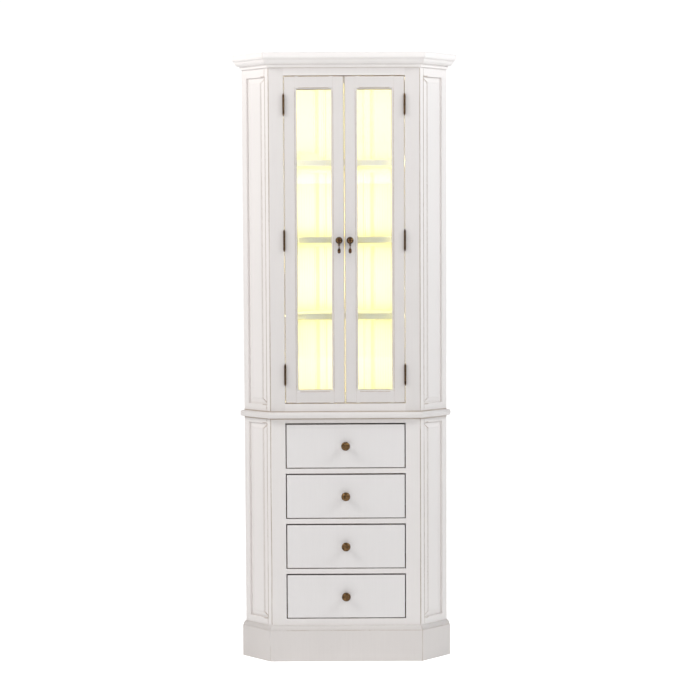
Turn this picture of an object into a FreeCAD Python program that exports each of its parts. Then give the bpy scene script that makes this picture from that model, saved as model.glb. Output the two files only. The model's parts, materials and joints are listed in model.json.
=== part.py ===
import FreeCAD, Part
import math
import os

import Sketcher

# A corner display cabinet: a plinth and four drawers below, a lit display with
# two glazed doors above. The plan is a five-sided corner outline: a straight
# front, a return at 45 degrees on each side, and two back walls that meet at a
# right angle. X is across, the front faces -Y, Z is up, the floor is Z = 0.

doc = FreeCAD.newDocument("corner_cabinet")

# ---------------------------------------------------------------- dimensions
dimensions = {
    # plan
    "face_half": 246,  # half the width of the flat front
    "return_run": 92,  # each return goes this far out and this far back
    "frame_thick": 22,  # front and return frames
    "wall_thick": 14,  # tongued boards of the back walls
    "opening_half": 198,  # half the width between the front stiles
    # heights
    "plinth_tall": 104,
    "plinth_cap": 14,
    "plinth_out": 15,
    "base_top": 124,
    "waist_low": 809,
    "waist_tall": 20,
    "waist_out": 18,
    "door_sill": 857,
    "door_head": 1929,
    "carcase_top": 1982,
    "total_tall": 2000,
    # cornice
    "cornice_low": 1955,
    "cornice_band": 10,
    "cornice_slab": 21,
    "cornice_out": 42,
    # raised panels in the returns
    "stile_near": 20,
    "stile_far": 22,
    "panel_foot": 140,
    "panel_lower_top": 791,
    "panel_upper_foot": 854,
    "panel_upper_top": 1926,
    "bevel_wide": 18,
    "bevel_deep": 6,
    "panel_back": 14,
    "tongue_deep": 6,
    # drawers
    "drawer_foot": 141,
    "drawer_tall": 150,
    "drawer_rail": 17,
    "drawer_gap": 3.2,  # at the sides
    "drawer_gap_low": 2.2,
    "drawer_gap_high": 4,
    "drawer_front_thick": 20,
    "drawer_deep": 206,
    "drawer_side": 12,
    "drawer_half": 194,
    "drawer_panel": 6,
    # doors
    "door_gap": 1.2,  # at the hinges
    "door_gap_tall": 2,  # above and below
    "meeting_half": 1,
    "meeting_bevel": 1.2,  # the meeting edges lean back, so that either door opens first
    "door_stile": 42,
    "door_rail": 43.5,
    "door_thick": 22,
    "sight_bevel": 6,
    "sight_depth": 5,
    "rebate_wide": 8,
    "rebate_start": 10,
    "glass_thick": 4,
    # shelves
    "shelf_thick": 21,
    "shelf_first": 1152,
    "shelf_pitch": 253,
    "shelf_back_set": 60,
    "floor_thick": 18,
    "cleat": 12,
    # hinges
    "leaf_long": 62,
    "leaf_thick": 1.2,
    "leaf_deep": 20,
    "barrel_radius": 3.3,
    "hinge_pin_radius": 1.5,
    "barrel_play": 0.05,
    # pulls and knobs
    "pull_up": 1393,
    "pull_in": 18,
    "ball_radius": 11.7,
    "ball_out": 17,
    "drop_pivot_fall": 15.2,
    "drop_pin_radius": 1,
    "knob_radius": 14.5,
    "knob_out": 25,
    "stud_radius": 2.4,
}

sheet = doc.addObject("Spreadsheet::Sheet", "Dims")
for row, (alias, value) in enumerate(dimensions.items(), start=1):
    sheet.set(f"A{row}", alias)
    sheet.set(f"B{row}", str(value))
    sheet.setAlias(f"B{row}", alias)
doc.recompute()

# Plan lines that several pieces share, worked out from the sheet.
front_line = "(Dims.cornice_out - Dims.face_half - 2 * Dims.return_run) / 2"
return_long = "(Dims.return_run * sqrt(2))"
wall_long = "((Dims.face_half + Dims.return_run) * sqrt(2))"
apex_back = "(Dims.face_half + 2 * Dims.return_run)"
return_inner = "(Dims.face_half - Dims.frame_thick * sqrt(2))"
wall_inner = f"({apex_back} - Dims.wall_thick * sqrt(2))"
mitre = "tan(22.5)"

# Local frames: where each starts and how far it is turned about Z. In all of
# them x runs along the face and y runs inwards from it.
frames = {
    "front": ("0", front_line, 0),
    "return": ("Dims.face_half", front_line, 45),
    "wall": ("Dims.face_half + Dims.return_run", f"{front_line} + Dims.return_run", 135),
    "left wall": ("-Dims.face_half - Dims.return_run", f"{front_line} + Dims.return_run", -135),
}

nodes = []


# ------------------------------------------------------------------- helpers
def number(expression):
    return float(sheet.evalExpression(expression))


def place(piece, frame, x="0", y="0", z="0"):
    start_x, start_y, turn = frames[frame]
    rotation = FreeCAD.Rotation(FreeCAD.Vector(0, 0, 1), turn)
    piece.Placement = FreeCAD.Placement(FreeCAD.Vector(), rotation)
    across = f"{start_x} + ({x}) * cos({turn}) - ({y}) * sin({turn})"
    piece.setExpression("Placement.Base.x", across)
    deep = f"{start_y} + ({x}) * sin({turn}) + ({y}) * cos({turn})"
    piece.setExpression("Placement.Base.y", deep)
    piece.setExpression("Placement.Base.z", z)
    return piece


def box(name, frame, x, y, z, long, deep, tall):
    piece = doc.addObject("Part::Box", name)
    piece.setExpression("Length", long)
    piece.setExpression("Width", deep)
    piece.setExpression("Height", tall)
    return place(piece, frame, x, y, z)


def body(name, frame, z="0", x="0", y="0"):
    return place(doc.addObject("PartDesign::Body", name), frame, x, y, z)


def outline(piece, plane, corners):
    # A closed outline. Each corner is (x, y), or (x, y, radius) where the run
    # to the next corner is an arc: its centre lies to the left of the run, or
    # to the right if the radius is negative.
    drawing = piece.newObject("Sketcher::SketchObject", f"{piece.Name}_outline")
    for feature in piece.Origin.OriginFeatures:
        if feature.Role == plane:
            drawing.AttachmentSupport = (feature, [""])
    drawing.MapMode = "FlatFace"
    points = [FreeCAD.Vector(number(c[0]), number(c[1]), 0) for c in corners]
    ends = []
    for index, corner in enumerate(corners):
        start = points[index]
        end = points[(index + 1) % len(points)]
        radius = number(corner[2]) if len(corner) == 3 else 0
        if not radius:
            drawing.addGeometry(Part.LineSegment(start, end))
            ends.append((1, 2))
            continue
        chord = end - start
        left = FreeCAD.Vector(-chord.y, chord.x, 0).normalize()
        rise = math.sqrt(radius**2 - (chord.Length / 2) ** 2)
        centre = (start + end) * 0.5 + left * math.copysign(rise, radius)
        first, last = (start, end) if radius > 0 else (end, start)
        angles = [math.atan2(p.y - centre.y, p.x - centre.x) for p in (first, last)]
        circle = Part.Circle(centre, FreeCAD.Vector(0, 0, 1), abs(radius))
        drawing.addGeometry(Part.ArcOfCircle(circle, *angles))
        ends.append((1, 2) if radius > 0 else (2, 1))
    for index, (start, end) in enumerate(ends):
        after = (index + 1) % len(ends)
        drawing.addConstraint(Sketcher.Constraint("Coincident", index, end, after, ends[after][0]))
    for index, corner in enumerate(corners):
        for kind, expression in zip(("DistanceX", "DistanceY"), corner):
            sizing = Sketcher.Constraint(kind, -1, 1, index, ends[index][0], number(expression))
            which = drawing.addConstraint(sizing)
            drawing.setExpression(f"Constraints[{which}]", expression)
        if len(corner) == 3:
            radius = abs(number(corner[2]))
            which = drawing.addConstraint(Sketcher.Constraint("Radius", index, radius))
            drawing.setExpression(f"Constraints[{which}]", f"abs({corner[2]})")
    return drawing


def pad(piece, plane, corners, length, back=None):
    # One way from the plane, both ways to different lengths, or centred on it.
    drawing = outline(piece, plane, corners)
    feature = piece.newObject("PartDesign::Pad", f"{piece.Name}_pad")
    feature.Profile = drawing
    feature.setExpression("Length", length)
    if back == "centred":
        feature.SideType = "Symmetric"
    elif back:
        feature.SideType = "Two sides"
        feature.setExpression("Length2", back)
    return feature


def cut(piece, plane, corners):
    # Removes an outline right through the body, and checks that it did.
    doc.recompute()
    before = piece.Shape.Volume
    drawing = outline(piece, plane, corners)
    feature = piece.newObject("PartDesign::Pocket", f"{piece.Name}_cut")
    feature.Profile = drawing
    feature.Type = "ThroughAll"
    feature.SideType = "Symmetric"
    doc.recompute()
    if piece.Shape.Volume >= before:
        raise ValueError(f"{piece.Label}: the cut removed nothing")
    return feature


def turn(piece, plane, axis, corners):
    drawing = outline(piece, plane, corners)
    feature = piece.newObject("PartDesign::Revolution", f"{piece.Name}_turned")
    feature.Profile = drawing
    feature.ReferenceAxis = (drawing, [axis])
    feature.Angle = 360
    return feature


def ease(piece, feature, radius, wanted):
    # Rounds the edges whose boxes, in the body's own frame, pass the test.
    doc.recompute()
    names = []
    for index, edge in enumerate(feature.Shape.Edges, start=1):
        if wanted(edge.BoundBox):
            names.append(f"Edge{index}")
    rounding = piece.newObject("PartDesign::Fillet", f"{piece.Name}_eased")
    rounding.Base = (feature, names)
    rounding.setExpression("Radius", radius)
    return rounding


def group(name, pieces):
    compound = doc.addObject("Part::Compound", name)
    compound.Links = pieces
    return compound


def join(name, pieces):
    fused = doc.addObject("Part::MultiFuse", name)
    fused.Shapes = pieces
    return fused


def remove(name, base, tool):
    result = doc.addObject("Part::Cut", name)
    result.Base = base
    result.Tool = tool
    return result


def mirrored(name, piece):
    # The same piece on the other side of the middle plane X = 0.
    other = doc.addObject("Part::Mirroring", name)
    other.Source = piece
    other.Normal = FreeCAD.Vector(1, 0, 0)
    return other


def keep(label, piece):
    piece.Label = label
    nodes.append(piece)
    return piece


def keep_pair(label, make):
    # make(name) builds the right-hand piece; the left one is its mirror image.
    right = make(label.replace("SIDE", "right"))
    keep(label.replace("SIDE", "right"), right)
    keep(label.replace("SIDE", "left"), mirrored(label.replace("SIDE", "left"), right))
    return right


def symmetric(corners):
    # Adds the left half of an outline to its right half, given from the front
    # to the apex; a corner on the middle plane is not doubled.
    left = [(f"-({c[0]})", c[1]) for c in reversed(corners) if number(c[0]) > 0]
    return corners + left


# -------------------------------------------------------- outlines in plan
def outer_plan(out):
    # The outside of the cabinet, its three faces standing out by a margin.
    side = f"Dims.face_half + Dims.return_run + {out} * sqrt(2) / 2"
    return symmetric([
        (f"Dims.face_half + {out} * {mitre}", f"-{out}"),
        (side, f"Dims.return_run - {out} * sqrt(2) / 2"),
        ("0", apex_back),
    ])


def inner_plan(setback):
    # The inside of the cabinet behind a line that is set back from the front.
    return symmetric([
        (f"{return_inner} + {setback}", setback),
        (f"({return_inner} + {wall_inner}) / 2", f"({wall_inner} - {return_inner}) / 2"),
        ("0", wall_inner),
    ])


# ------------------------------------------------------------------- plinth
def moulding(name, frame, profile, out, long, back):
    # A run of moulding along x, mitred at the corner between front and return.
    piece = body(name, frame)
    pad(piece, "YZ_Plane", profile, long, back)
    margin = 5  # the mitre cuts run this far past the moulding
    if frame == "front":
        low = f"Dims.face_half - {mitre} * {margin}"
        high = f"Dims.face_half + {mitre} * ({out} + {margin})"
        corner = [(low, f"{margin}"), (high, f"-{out} - {margin}"), (high, f"{margin}")]
        cut(piece, "XY_Plane", corner)
        cut(piece, "XY_Plane", [(f"-({x})", y) for x, y in corner])
    else:
        low = f"{mitre} * {margin}"
        high = f"-{mitre} * ({out} + {margin})"
        cut(piece, "XY_Plane", [(low, f"{margin}"), (high, f"{margin}"), (high, f"-{out} - {margin}")])
    return piece


def moulding_front(name, profile, out):
    long = f"2 * (Dims.face_half + {out} * {mitre})"
    return moulding(name, "front", profile, out, long, "centred")


def moulding_returns(name, profile, out):
    right = moulding(f"{name}_right", "return", profile, out, return_long, f"{out} * {mitre}")
    return group(name, [right, mirrored(f"{name}_left", right)])


quirk = "2.5"  # small step where a moulded edge starts
plinth_profile = [
    ("0", "0"),
    ("0", "Dims.plinth_tall + Dims.plinth_cap", "Dims.plinth_cap * 1.05"),
    (f"{quirk} - Dims.plinth_out", "Dims.plinth_tall"),
    ("-Dims.plinth_out", "Dims.plinth_tall"),
    ("-Dims.plinth_out", "0"),
]
keep("plinth_front", moulding_front("plinth_front", plinth_profile, "Dims.plinth_out"))
keep("plinth_returns", moulding_returns("plinth_returns", plinth_profile, "Dims.plinth_out"))


# ------------------------------------------------------------ face frames
def stile_pair(name, low, high, recesses=None):
    piece = body(f"{name}_right", "front", low)
    inner = f"Dims.face_half - Dims.frame_thick * {mitre}"
    corners = [
        ("Dims.opening_half", "0"),
        ("Dims.face_half", "0"),
        (inner, "Dims.frame_thick"),
        ("Dims.opening_half", "Dims.frame_thick"),
    ]
    pad(piece, "XY_Plane", corners, f"{high} - {low}")
    if recesses:
        piece = remove(f"{name}_recessed", piece, recesses)
    return group(name, [piece, mirrored(f"{name}_left", piece)])


def rail(name, low, tall):
    return box(
        name, "front", "-Dims.opening_half", "0", low,
        "2 * Dims.opening_half", "Dims.frame_thick", tall,
    )


drawer_pitch = "(Dims.drawer_tall + Dims.drawer_rail)"
drawer_count = 4


def drawer_floor(index):
    # Height of a drawer opening's lower edge; the top drawer is number 1.
    return f"Dims.drawer_foot + {drawer_count - index} * {drawer_pitch}"


keep("lower_stiles", stile_pair("lower_stiles", "0", "Dims.waist_low"))
foot_rail_low = "60"
lower_rails = [rail("foot_rail", foot_rail_low, f"Dims.drawer_foot - {foot_rail_low}")]
for index in range(1, drawer_count + 1):
    over = f"{drawer_floor(index)} + Dims.drawer_tall"
    tall = f"Dims.waist_low - ({over})" if index == 1 else "Dims.drawer_rail"
    lower_rails.append(rail(f"rail_over_drawer_{index}", over, tall))
keep("lower_rails", group("lower_rails", lower_rails))

upper_foot = "(Dims.waist_low + Dims.waist_tall)"
hinge_middles = ["952", "1393", "1835"]


def hinge_recesses(name, x):
    # Shallow cuts that let the hinge leaves into the edge of a stile.
    cuts = []
    for index, middle in enumerate(hinge_middles, start=1):
        cuts.append(box(f"{name}_{index}", "front", x, "0", f"{middle} - Dims.leaf_long / 2",
                        "Dims.leaf_thick", "Dims.leaf_deep", "Dims.leaf_long"))
    return group(name, cuts)


keep("upper_stiles", stile_pair("upper_stiles", upper_foot, "Dims.carcase_top",
                                hinge_recesses("stile_recesses", "Dims.opening_half")))
upper_rails = [
    rail("sill_rail", upper_foot, f"Dims.door_sill - {upper_foot}"),
    rail("head_rail", "Dims.door_head", "Dims.carcase_top - Dims.door_head"),
]
keep("upper_rails", group("upper_rails", upper_rails))


# ----------------------------------------- returns with raised, fielded panels
def panel_tongue(name, low, high):
    return box(
        name, "return",
        "Dims.stile_near - Dims.tongue_deep", "Dims.bevel_deep + 2", f"{low} - Dims.tongue_deep",
        f"{return_long} - Dims.stile_near - Dims.stile_far + 2 * Dims.tongue_deep",
        "Dims.panel_back - Dims.bevel_deep - 2", f"{high} - {low} + 2 * Dims.tongue_deep",
    )


def return_frame(name, foot, head, low, high):
    # Two stiles, two rails, grooved for the panel; the near stile is mitred.
    near = body(f"{name}_near_stile", "return", foot)
    corners = [
        ("0", "0"),
        ("Dims.stile_near", "0"),
        ("Dims.stile_near", "Dims.frame_thick"),
        (f"Dims.frame_thick * {mitre}", "Dims.frame_thick"),
    ]
    pad(near, "XY_Plane", corners, f"{head} - {foot}")
    far = box(
        f"{name}_far_stile", "return", f"{return_long} - Dims.stile_far", "0", foot,
        "Dims.stile_far", "Dims.frame_thick", f"{head} - {foot}",
    )
    between = f"{return_long} - Dims.stile_near - Dims.stile_far"
    rails = []
    for place_name, start, end in (("foot", foot, low), ("head", high, head)):
        rails.append(box(
            f"{name}_{place_name}_rail", "return", "Dims.stile_near", "0", start,
            between, "Dims.frame_thick", f"{end} - {start}",
        ))
    whole = group(f"{name}_parts", [near, far] + rails)
    return remove(name, whole, panel_tongue(f"{name}_groove", low, high))


def return_panel(name, low, high):
    # A tongue all round, a bevel, and a flat field just below the frame's face.
    tongue = panel_tongue(f"{name}_tongue", low, high)
    wide = f"({return_long} - Dims.stile_near - Dims.stile_far)"
    bevel = doc.addObject("Part::Wedge", f"{name}_bevel")
    for name_of_size, expression in (
        ("Xmin", "Dims.bevel_wide"), ("Xmax", f"{wide} - Dims.bevel_wide"),
        ("Zmin", "Dims.bevel_wide"), ("Zmax", f"{high} - {low} - Dims.bevel_wide"),
        ("X2min", "0"), ("X2max", wide), ("Z2min", "0"), ("Z2max", f"{high} - {low}"),
        ("Ymin", "0"), ("Ymax", "Dims.bevel_deep"),
    ):
        bevel.setExpression(name_of_size, expression)
    place(bevel, "return", "Dims.stile_near", "2", low)
    field = box(
        f"{name}_field", "return",
        "Dims.stile_near + Dims.bevel_wide + 1", "0.8", f"{low} + Dims.bevel_wide + 1",
        f"{wide} - 2 * Dims.bevel_wide - 2", "2", f"{high} - {low} - 2 * Dims.bevel_wide - 2",
    )
    return join(name, [tongue, bevel, field])


keep_pair("lower_return_frame_SIDE", lambda name: return_frame(
    name, "0", "Dims.waist_low", "Dims.panel_foot", "Dims.panel_lower_top"))
keep_pair("lower_return_panel_SIDE", lambda name: return_panel(
    name, "Dims.panel_foot", "Dims.panel_lower_top"))
keep_pair("upper_return_frame_SIDE", lambda name: return_frame(
    name, upper_foot, "Dims.carcase_top", "Dims.panel_upper_foot", "Dims.panel_upper_top"))
keep_pair("upper_return_panel_SIDE", lambda name: return_panel(
    name, "Dims.panel_upper_foot", "Dims.panel_upper_top"))


# ---------------------------------------------------------------- back walls
def wall_boards(name, low, high):
    # Vertical boards on one wall. Each joint shows inside as a groove, given
    # by its distance along the wall, half its width and its depth; the last
    # board is mitred at the apex.
    narrow = ("2.5", "2.5")
    wide = ("8.5", "4")
    joints = [("117", *narrow), ("212", *narrow), ("322", *wide), ("364", *narrow)]
    ends = [("Dims.frame_thick", "0", "0")] + joints + [(wall_long, "Dims.wall_thick", "0")]
    boards = []
    for index in range(len(ends) - 1):
        start, start_half, start_deep = ends[index]
        end, end_half, end_deep = ends[index + 1]
        corners = [(start, "0"), (end, "0")]
        if number(end_deep):
            corners.append((end, f"Dims.wall_thick - {end_deep}"))
        corners.append((f"{end} - {end_half}", "Dims.wall_thick"))
        if number(start_deep):
            corners.append((f"{start} + {start_half}", "Dims.wall_thick"))
            corners.append((start, f"Dims.wall_thick - {start_deep}"))
        else:
            corners.append((start, "Dims.wall_thick"))
        board = body(f"{name}_board_{index + 1}", "wall", low)
        pad(board, "XY_Plane", corners, f"{high} - {low}")
        boards.append(board)
    return group(name, boards)


lower_wall = wall_boards("lower_wall_right", "0", "Dims.waist_low")
keep("lower_wall_boards", group(
    "lower_wall_boards", [lower_wall, mirrored("lower_wall_left", lower_wall)]))

driver_up = "(Dims.shelf_first + 2 * Dims.shelf_pitch)"  # the light driver stands on this shelf
driver_tall = "31"
driver_long = "76"
driver_start = "-316"
inlet_along = f"{driver_start} + {driver_long} / 2"
inlet_up = f"{driver_up} + {driver_tall} / 2"
inlet_radius = "6"


def inlet_cylinder(name, long):
    # Through the left wall, on an axis square to it.
    piece = doc.addObject("Part::Cylinder", name)
    piece.setExpression("Radius", inlet_radius)
    piece.setExpression("Height", long)
    start_x, start_y, angle = frames["left wall"]
    sideways = FreeCAD.Rotation(FreeCAD.Vector(1, 0, 0), -90)
    wall_turn = FreeCAD.Rotation(FreeCAD.Vector(0, 0, 1), angle)
    piece.Placement = FreeCAD.Placement(FreeCAD.Vector(), wall_turn.multiply(sideways))
    piece.setExpression("Placement.Base.x", f"{start_x} + ({inlet_along}) * cos({angle})")
    piece.setExpression("Placement.Base.y", f"{start_y} + ({inlet_along}) * sin({angle})")
    piece.setExpression("Placement.Base.z", inlet_up)
    return piece


upper_wall = wall_boards("upper_wall_right", upper_foot, "Dims.carcase_top")
upper_left_wall = remove(
    "upper_wall_left", mirrored("upper_wall_left_whole", upper_wall),
    inlet_cylinder("inlet_hole", "Dims.wall_thick"))
keep("upper_wall_boards", group("upper_wall_boards", [upper_wall, upper_left_wall]))


# ----------------------------------------------- flat boards across the plan
def flat_board(name, corners, low, tall):
    piece = body(name, "front", low)
    return piece, pad(piece, "XY_Plane", corners, tall)


def shelf_board(name, setback, top, thick):
    # The front edge is softly rounded above and below.
    piece, feature = flat_board(name, inner_plan(setback), f"{top} - {thick}", thick)
    line = number(setback)
    edge_radius = "2.5"
    ease(piece, feature, edge_radius, lambda b: b.YMax < line + 0.01 and b.ZLength < 0.01)
    return piece


for label, top in (("base_board", "Dims.base_top"), ("display_floor", "Dims.door_sill")):
    board, _ = flat_board(label, inner_plan("Dims.frame_thick"), f"{top} - Dims.floor_thick",
                          "Dims.floor_thick")
    keep(label, board)

shelf_tops = []
for index, label in enumerate(("shelf_lower", "shelf_middle", "shelf_upper")):
    top = f"(Dims.shelf_first + {index} * Dims.shelf_pitch)"
    shelf_tops.append(top)
    keep(label, shelf_board(label, "Dims.shelf_back_set", top, "Dims.shelf_thick"))

cleats = []
for index, top in enumerate(shelf_tops, start=1):
    right = box(
        f"cleat_right_{index}", "wall", "50", "Dims.wall_thick",
        f"{top} - Dims.shelf_thick - Dims.cleat", f"{wall_long} - 90", "Dims.cleat", "Dims.cleat",
    )
    cleats += [right, mirrored(f"cleat_left_{index}", right)]
keep("shelf_cleats", group("shelf_cleats", cleats))


def make_waist_board():
    # Covers the whole base: the two plan corners are rounded, then the edges.
    piece, feature = flat_board("waist_board", outer_plan("Dims.waist_out"),
                                "Dims.waist_low", "Dims.waist_tall")
    corner_x = number(f"Dims.face_half + Dims.waist_out * {mitre}")
    corner_radius = "14"
    edge_radius = "8"
    rounded = ease(piece, feature, corner_radius, lambda b: b.XLength < 0.01 and b.ZLength > 1
                   and abs(abs(b.XMin) - corner_x) < 0.1)
    wall_y = number("Dims.return_run")
    ease(piece, rounded, edge_radius, lambda b: b.ZLength < 0.01 and b.YMax < wall_y)
    return piece


keep("waist_board", make_waist_board())
lid, _ = flat_board("top_board", outer_plan("0"), "Dims.carcase_top",
                    "Dims.total_tall - Dims.carcase_top")
keep("top_board", lid)

# ------------------------------------------------------------------- cornice
band_out = "8.5"
ovolo_in = "11"
ovolo_out = "33"
slab_low = "(Dims.total_tall - Dims.cornice_slab)"
band_top = "(Dims.cornice_low + Dims.cornice_band)"
cornice_profile = [
    ("0", "Dims.cornice_low"),
    ("0", "Dims.total_tall"),
    ("-Dims.cornice_out + 1.5", "Dims.total_tall", "1.5"),
    ("-Dims.cornice_out", "Dims.total_tall - 1.5"),
    ("-Dims.cornice_out", f"{slab_low} + 9", "9"),
    ("7 - Dims.cornice_out", slab_low),
    (f"-{ovolo_out}", slab_low, "20"),
    (f"-{ovolo_in}", band_top),
    (f"-{band_out}", band_top),
    (f"-{band_out}", "Dims.cornice_low + 1.5", "1.5"),
    (f"1.5 - {band_out}", "Dims.cornice_low"),
]
keep("cornice_front", moulding_front("cornice_front", cornice_profile, "Dims.cornice_out"))
keep("cornice_returns", moulding_returns("cornice_returns", cornice_profile, "Dims.cornice_out"))


# ------------------------------------------------------------ drawer runners
def runner_strip(name, inner, outer, low, tall):
    # From the front frame to the back wall, its end cut to the wall's angle.
    piece = body(name, "front", low)
    corners = [
        (inner, "Dims.frame_thick"),
        (outer, "Dims.frame_thick"),
        (outer, f"{wall_inner} - ({outer})"),
        (inner, f"{wall_inner} - ({inner})"),
    ]
    pad(piece, "XY_Plane", corners, tall)
    return [piece, mirrored(f"{name}_left", piece)]


runner_in = "170"
runner_out = "212"
guide_in = "Dims.drawer_half + 2"
guide_tall = "12"
runners = []
for index in range(1, drawer_count + 1):
    level = drawer_floor(index)
    runners += runner_strip(f"runner_{index}", runner_in, runner_out,
                            f"{level} - Dims.drawer_rail", "Dims.drawer_rail")
    runners += runner_strip(f"guide_{index}", guide_in, runner_out, level, guide_tall)
kicker_low = f"{drawer_floor(1)} + Dims.drawer_tall"
runners += runner_strip("kicker", runner_in, runner_out, kicker_low, f"Dims.waist_low - ({kicker_low})")
keep("drawer_runners", group("drawer_runners", runners))

# --------------------------------------------------------------------- doors
window_near = "(Dims.meeting_half + Dims.door_stile)"
door_edge = "(Dims.opening_half - Dims.door_gap)"
window_far = f"({door_edge} - Dims.door_stile)"
door_low = "(Dims.door_sill + Dims.door_gap_tall)"
door_high = "(Dims.door_head - Dims.door_gap_tall)"
window_low = f"({door_low} + Dims.door_rail)"
window_high = f"({door_high} - Dims.door_rail)"


def member_profile(back, sight, lean="0"):
    # Across a door stile or rail: flat face, a bevel round the glass and a
    # rebate behind. back is the outer edge, which may lean in towards the rear,
    # and sight the edge at the opening.
    sign = "1" if number(sight) > number(back) else "-1"
    return [
        (back, "0"),
        (f"{sight} - {sign} * Dims.sight_bevel", "0"),
        (sight, "Dims.sight_depth"),
        (sight, "Dims.rebate_start"),
        (f"{sight} - {sign} * Dims.rebate_wide", "Dims.rebate_start"),
        (f"{sight} - {sign} * Dims.rebate_wide", "Dims.door_thick"),
        (f"{back} + {sign} * {lean}", "Dims.door_thick"),
    ]


def door_frame(name):
    # Stiles run full height; the rails are coped over their moulded edges.
    members = []
    for part, back, sight, lean in (
        ("meeting_stile", "Dims.meeting_half", window_near, "Dims.meeting_bevel"),
        ("hinge_stile", door_edge, window_far, "0"),
    ):
        stile = body(f"{name}_{part}", "front", door_low)
        profile = member_profile(back, sight, lean)
        feature = pad(stile, "XY_Plane", profile, f"{door_high} - {door_low}")
        edge = number(back)
        arris_radius = "1.2"
        ease(stile, feature, arris_radius, lambda b: abs(b.XMin - edge) < 0.01 and b.XLength < 0.01
             and b.YMax < 0.01)
        if part == "hinge_stile":
            recesses = hinge_recesses(f"{name}_recesses", f"{door_edge} - Dims.leaf_thick")
            stile = remove(f"{name}_{part}_recessed", stile, recesses)
        members.append(stile)
    stiles = group(f"{name}_stiles", list(members))
    for part, back, sight in (("foot_rail", door_low, window_low), ("head_rail", door_high, window_high)):
        rail_body = body(f"{name}_{part}", "front")
        profile = [(y, z) for z, y in member_profile(back, sight)]
        pad(rail_body, "YZ_Plane", profile, f"{window_far} + Dims.rebate_wide",
            f"Dims.rebate_wide - {window_near}")
        members.append(remove(f"{name}_{part}_coped", rail_body, stiles))
    return group(name, members)


def door_glass(name):
    lap = "(Dims.rebate_wide - 1)"
    return box(
        name, "front", f"{window_near} - {lap}", "Dims.rebate_start", f"{window_low} - {lap}",
        f"{window_far} - {window_near} + 2 * {lap}", "Dims.glass_thick",
        f"{window_high} - {window_low} + 2 * {lap}",
    )


def door_beads(name):
    # Four strips that hold the glass in the rebate from behind.
    deep = "Dims.door_thick - Dims.rebate_start - Dims.glass_thick"
    start = "Dims.rebate_start + Dims.glass_thick"
    full = f"{window_high} - {window_low} + 2 * Dims.rebate_wide"
    foot = f"{window_low} - Dims.rebate_wide"
    strips = []
    for part, x in (("near", f"{window_near} - Dims.rebate_wide"), ("far", window_far)):
        strips.append(box(f"{name}_{part}", "front", x, start, foot, "Dims.rebate_wide", deep, full))
    for part, z in (("foot", foot), ("head", window_high)):
        strips.append(box(f"{name}_{part}", "front", window_near, start, z,
                          f"{window_far} - {window_near}", deep, "Dims.rebate_wide"))
    return group(name, strips)


bullet_up = "1374"
bullet_radius = "3.2"
bullet_long = "12"


def bullet_hole():
    hole = doc.addObject("Part::Cylinder", "bullet_hole")
    hole.setExpression("Radius", f"{bullet_radius} + 0.05")
    hole.setExpression("Height", f"{bullet_long} + Dims.meeting_bevel / 2")
    hole.Placement = FreeCAD.Placement(FreeCAD.Vector(), FreeCAD.Rotation(FreeCAD.Vector(0, 1, 0), 90))
    hole.setExpression("Placement.Base.x", "Dims.meeting_half")
    hole.setExpression("Placement.Base.y", f"{front_line} + Dims.door_thick / 2")
    hole.setExpression("Placement.Base.z", bullet_up)
    return hole


plain_frame = door_frame("door_frame")
keep("door_left_frame", mirrored("door_left_frame", plain_frame))
keep("door_right_frame", remove("door_right_frame", plain_frame, bullet_hole()))
keep_pair("door_SIDE_glass", door_glass)
keep_pair("door_SIDE_beads", door_beads)

# ------------------------------------------------------------- butt hinges
knuckles = 5
knuckle_play = "0.2"
knuckle_long = f"(Dims.leaf_long / {knuckles})"
hinge_x = "(Dims.opening_half - Dims.door_gap / 2)"
hinge_y = "-(Dims.barrel_radius + 0.3)"


def hinge_cylinder(name, radius, low, tall):
    piece = doc.addObject("Part::Cylinder", name)
    piece.setExpression("Radius", radius)
    piece.setExpression("Height", tall)
    return place(piece, "front", hinge_x, hinge_y, low)


def hinge_leaf(name, middle, first, plate_x, bore):
    # A plate let into the stile's edge and every other knuckle of the barrel.
    foot = f"({middle} - Dims.leaf_long / 2)"
    solids = [box(f"{name}_plate", "front", plate_x, "0", foot,
                  "Dims.leaf_thick", "Dims.leaf_deep", "Dims.leaf_long")]
    for index in range(first, knuckles, 2):
        low = f"{foot} + {index} * {knuckle_long} + {knuckle_play} / 2"
        tall = f"{knuckle_long} - {knuckle_play}"
        solids.append(hinge_cylinder(f"{name}_knuckle_{index}", "Dims.barrel_radius", low, tall))
        solids.append(box(f"{name}_neck_{index}", "front", plate_x, hinge_y, low,
                          "Dims.leaf_thick", f"1 - {hinge_y}", tall))
    whole = join(f"{name}_blank", solids)
    drill = hinge_cylinder(f"{name}_bore", bore, foot, "Dims.leaf_long")
    return remove(name, whole, drill)


def hinge_set(name, first, plate_x, bore):
    leaves = []
    for index, middle in enumerate(hinge_middles, start=1):
        leaves.append(hinge_leaf(f"{name}_{index}", middle, first, plate_x, bore))
    return group(name, leaves)


running_bore = "Dims.hinge_pin_radius + Dims.barrel_play"
frame_leaves = hinge_set("frame_leaves_right", 0, "Dims.opening_half", "Dims.hinge_pin_radius")
keep("hinge_frame_leaves", group(
    "hinge_frame_leaves", [frame_leaves, mirrored("frame_leaves_left", frame_leaves)]))
keep_pair("door_SIDE_hinge_leaves", lambda name: hinge_set(
    name, 1, f"{door_edge} - Dims.leaf_thick", running_bore))

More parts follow.
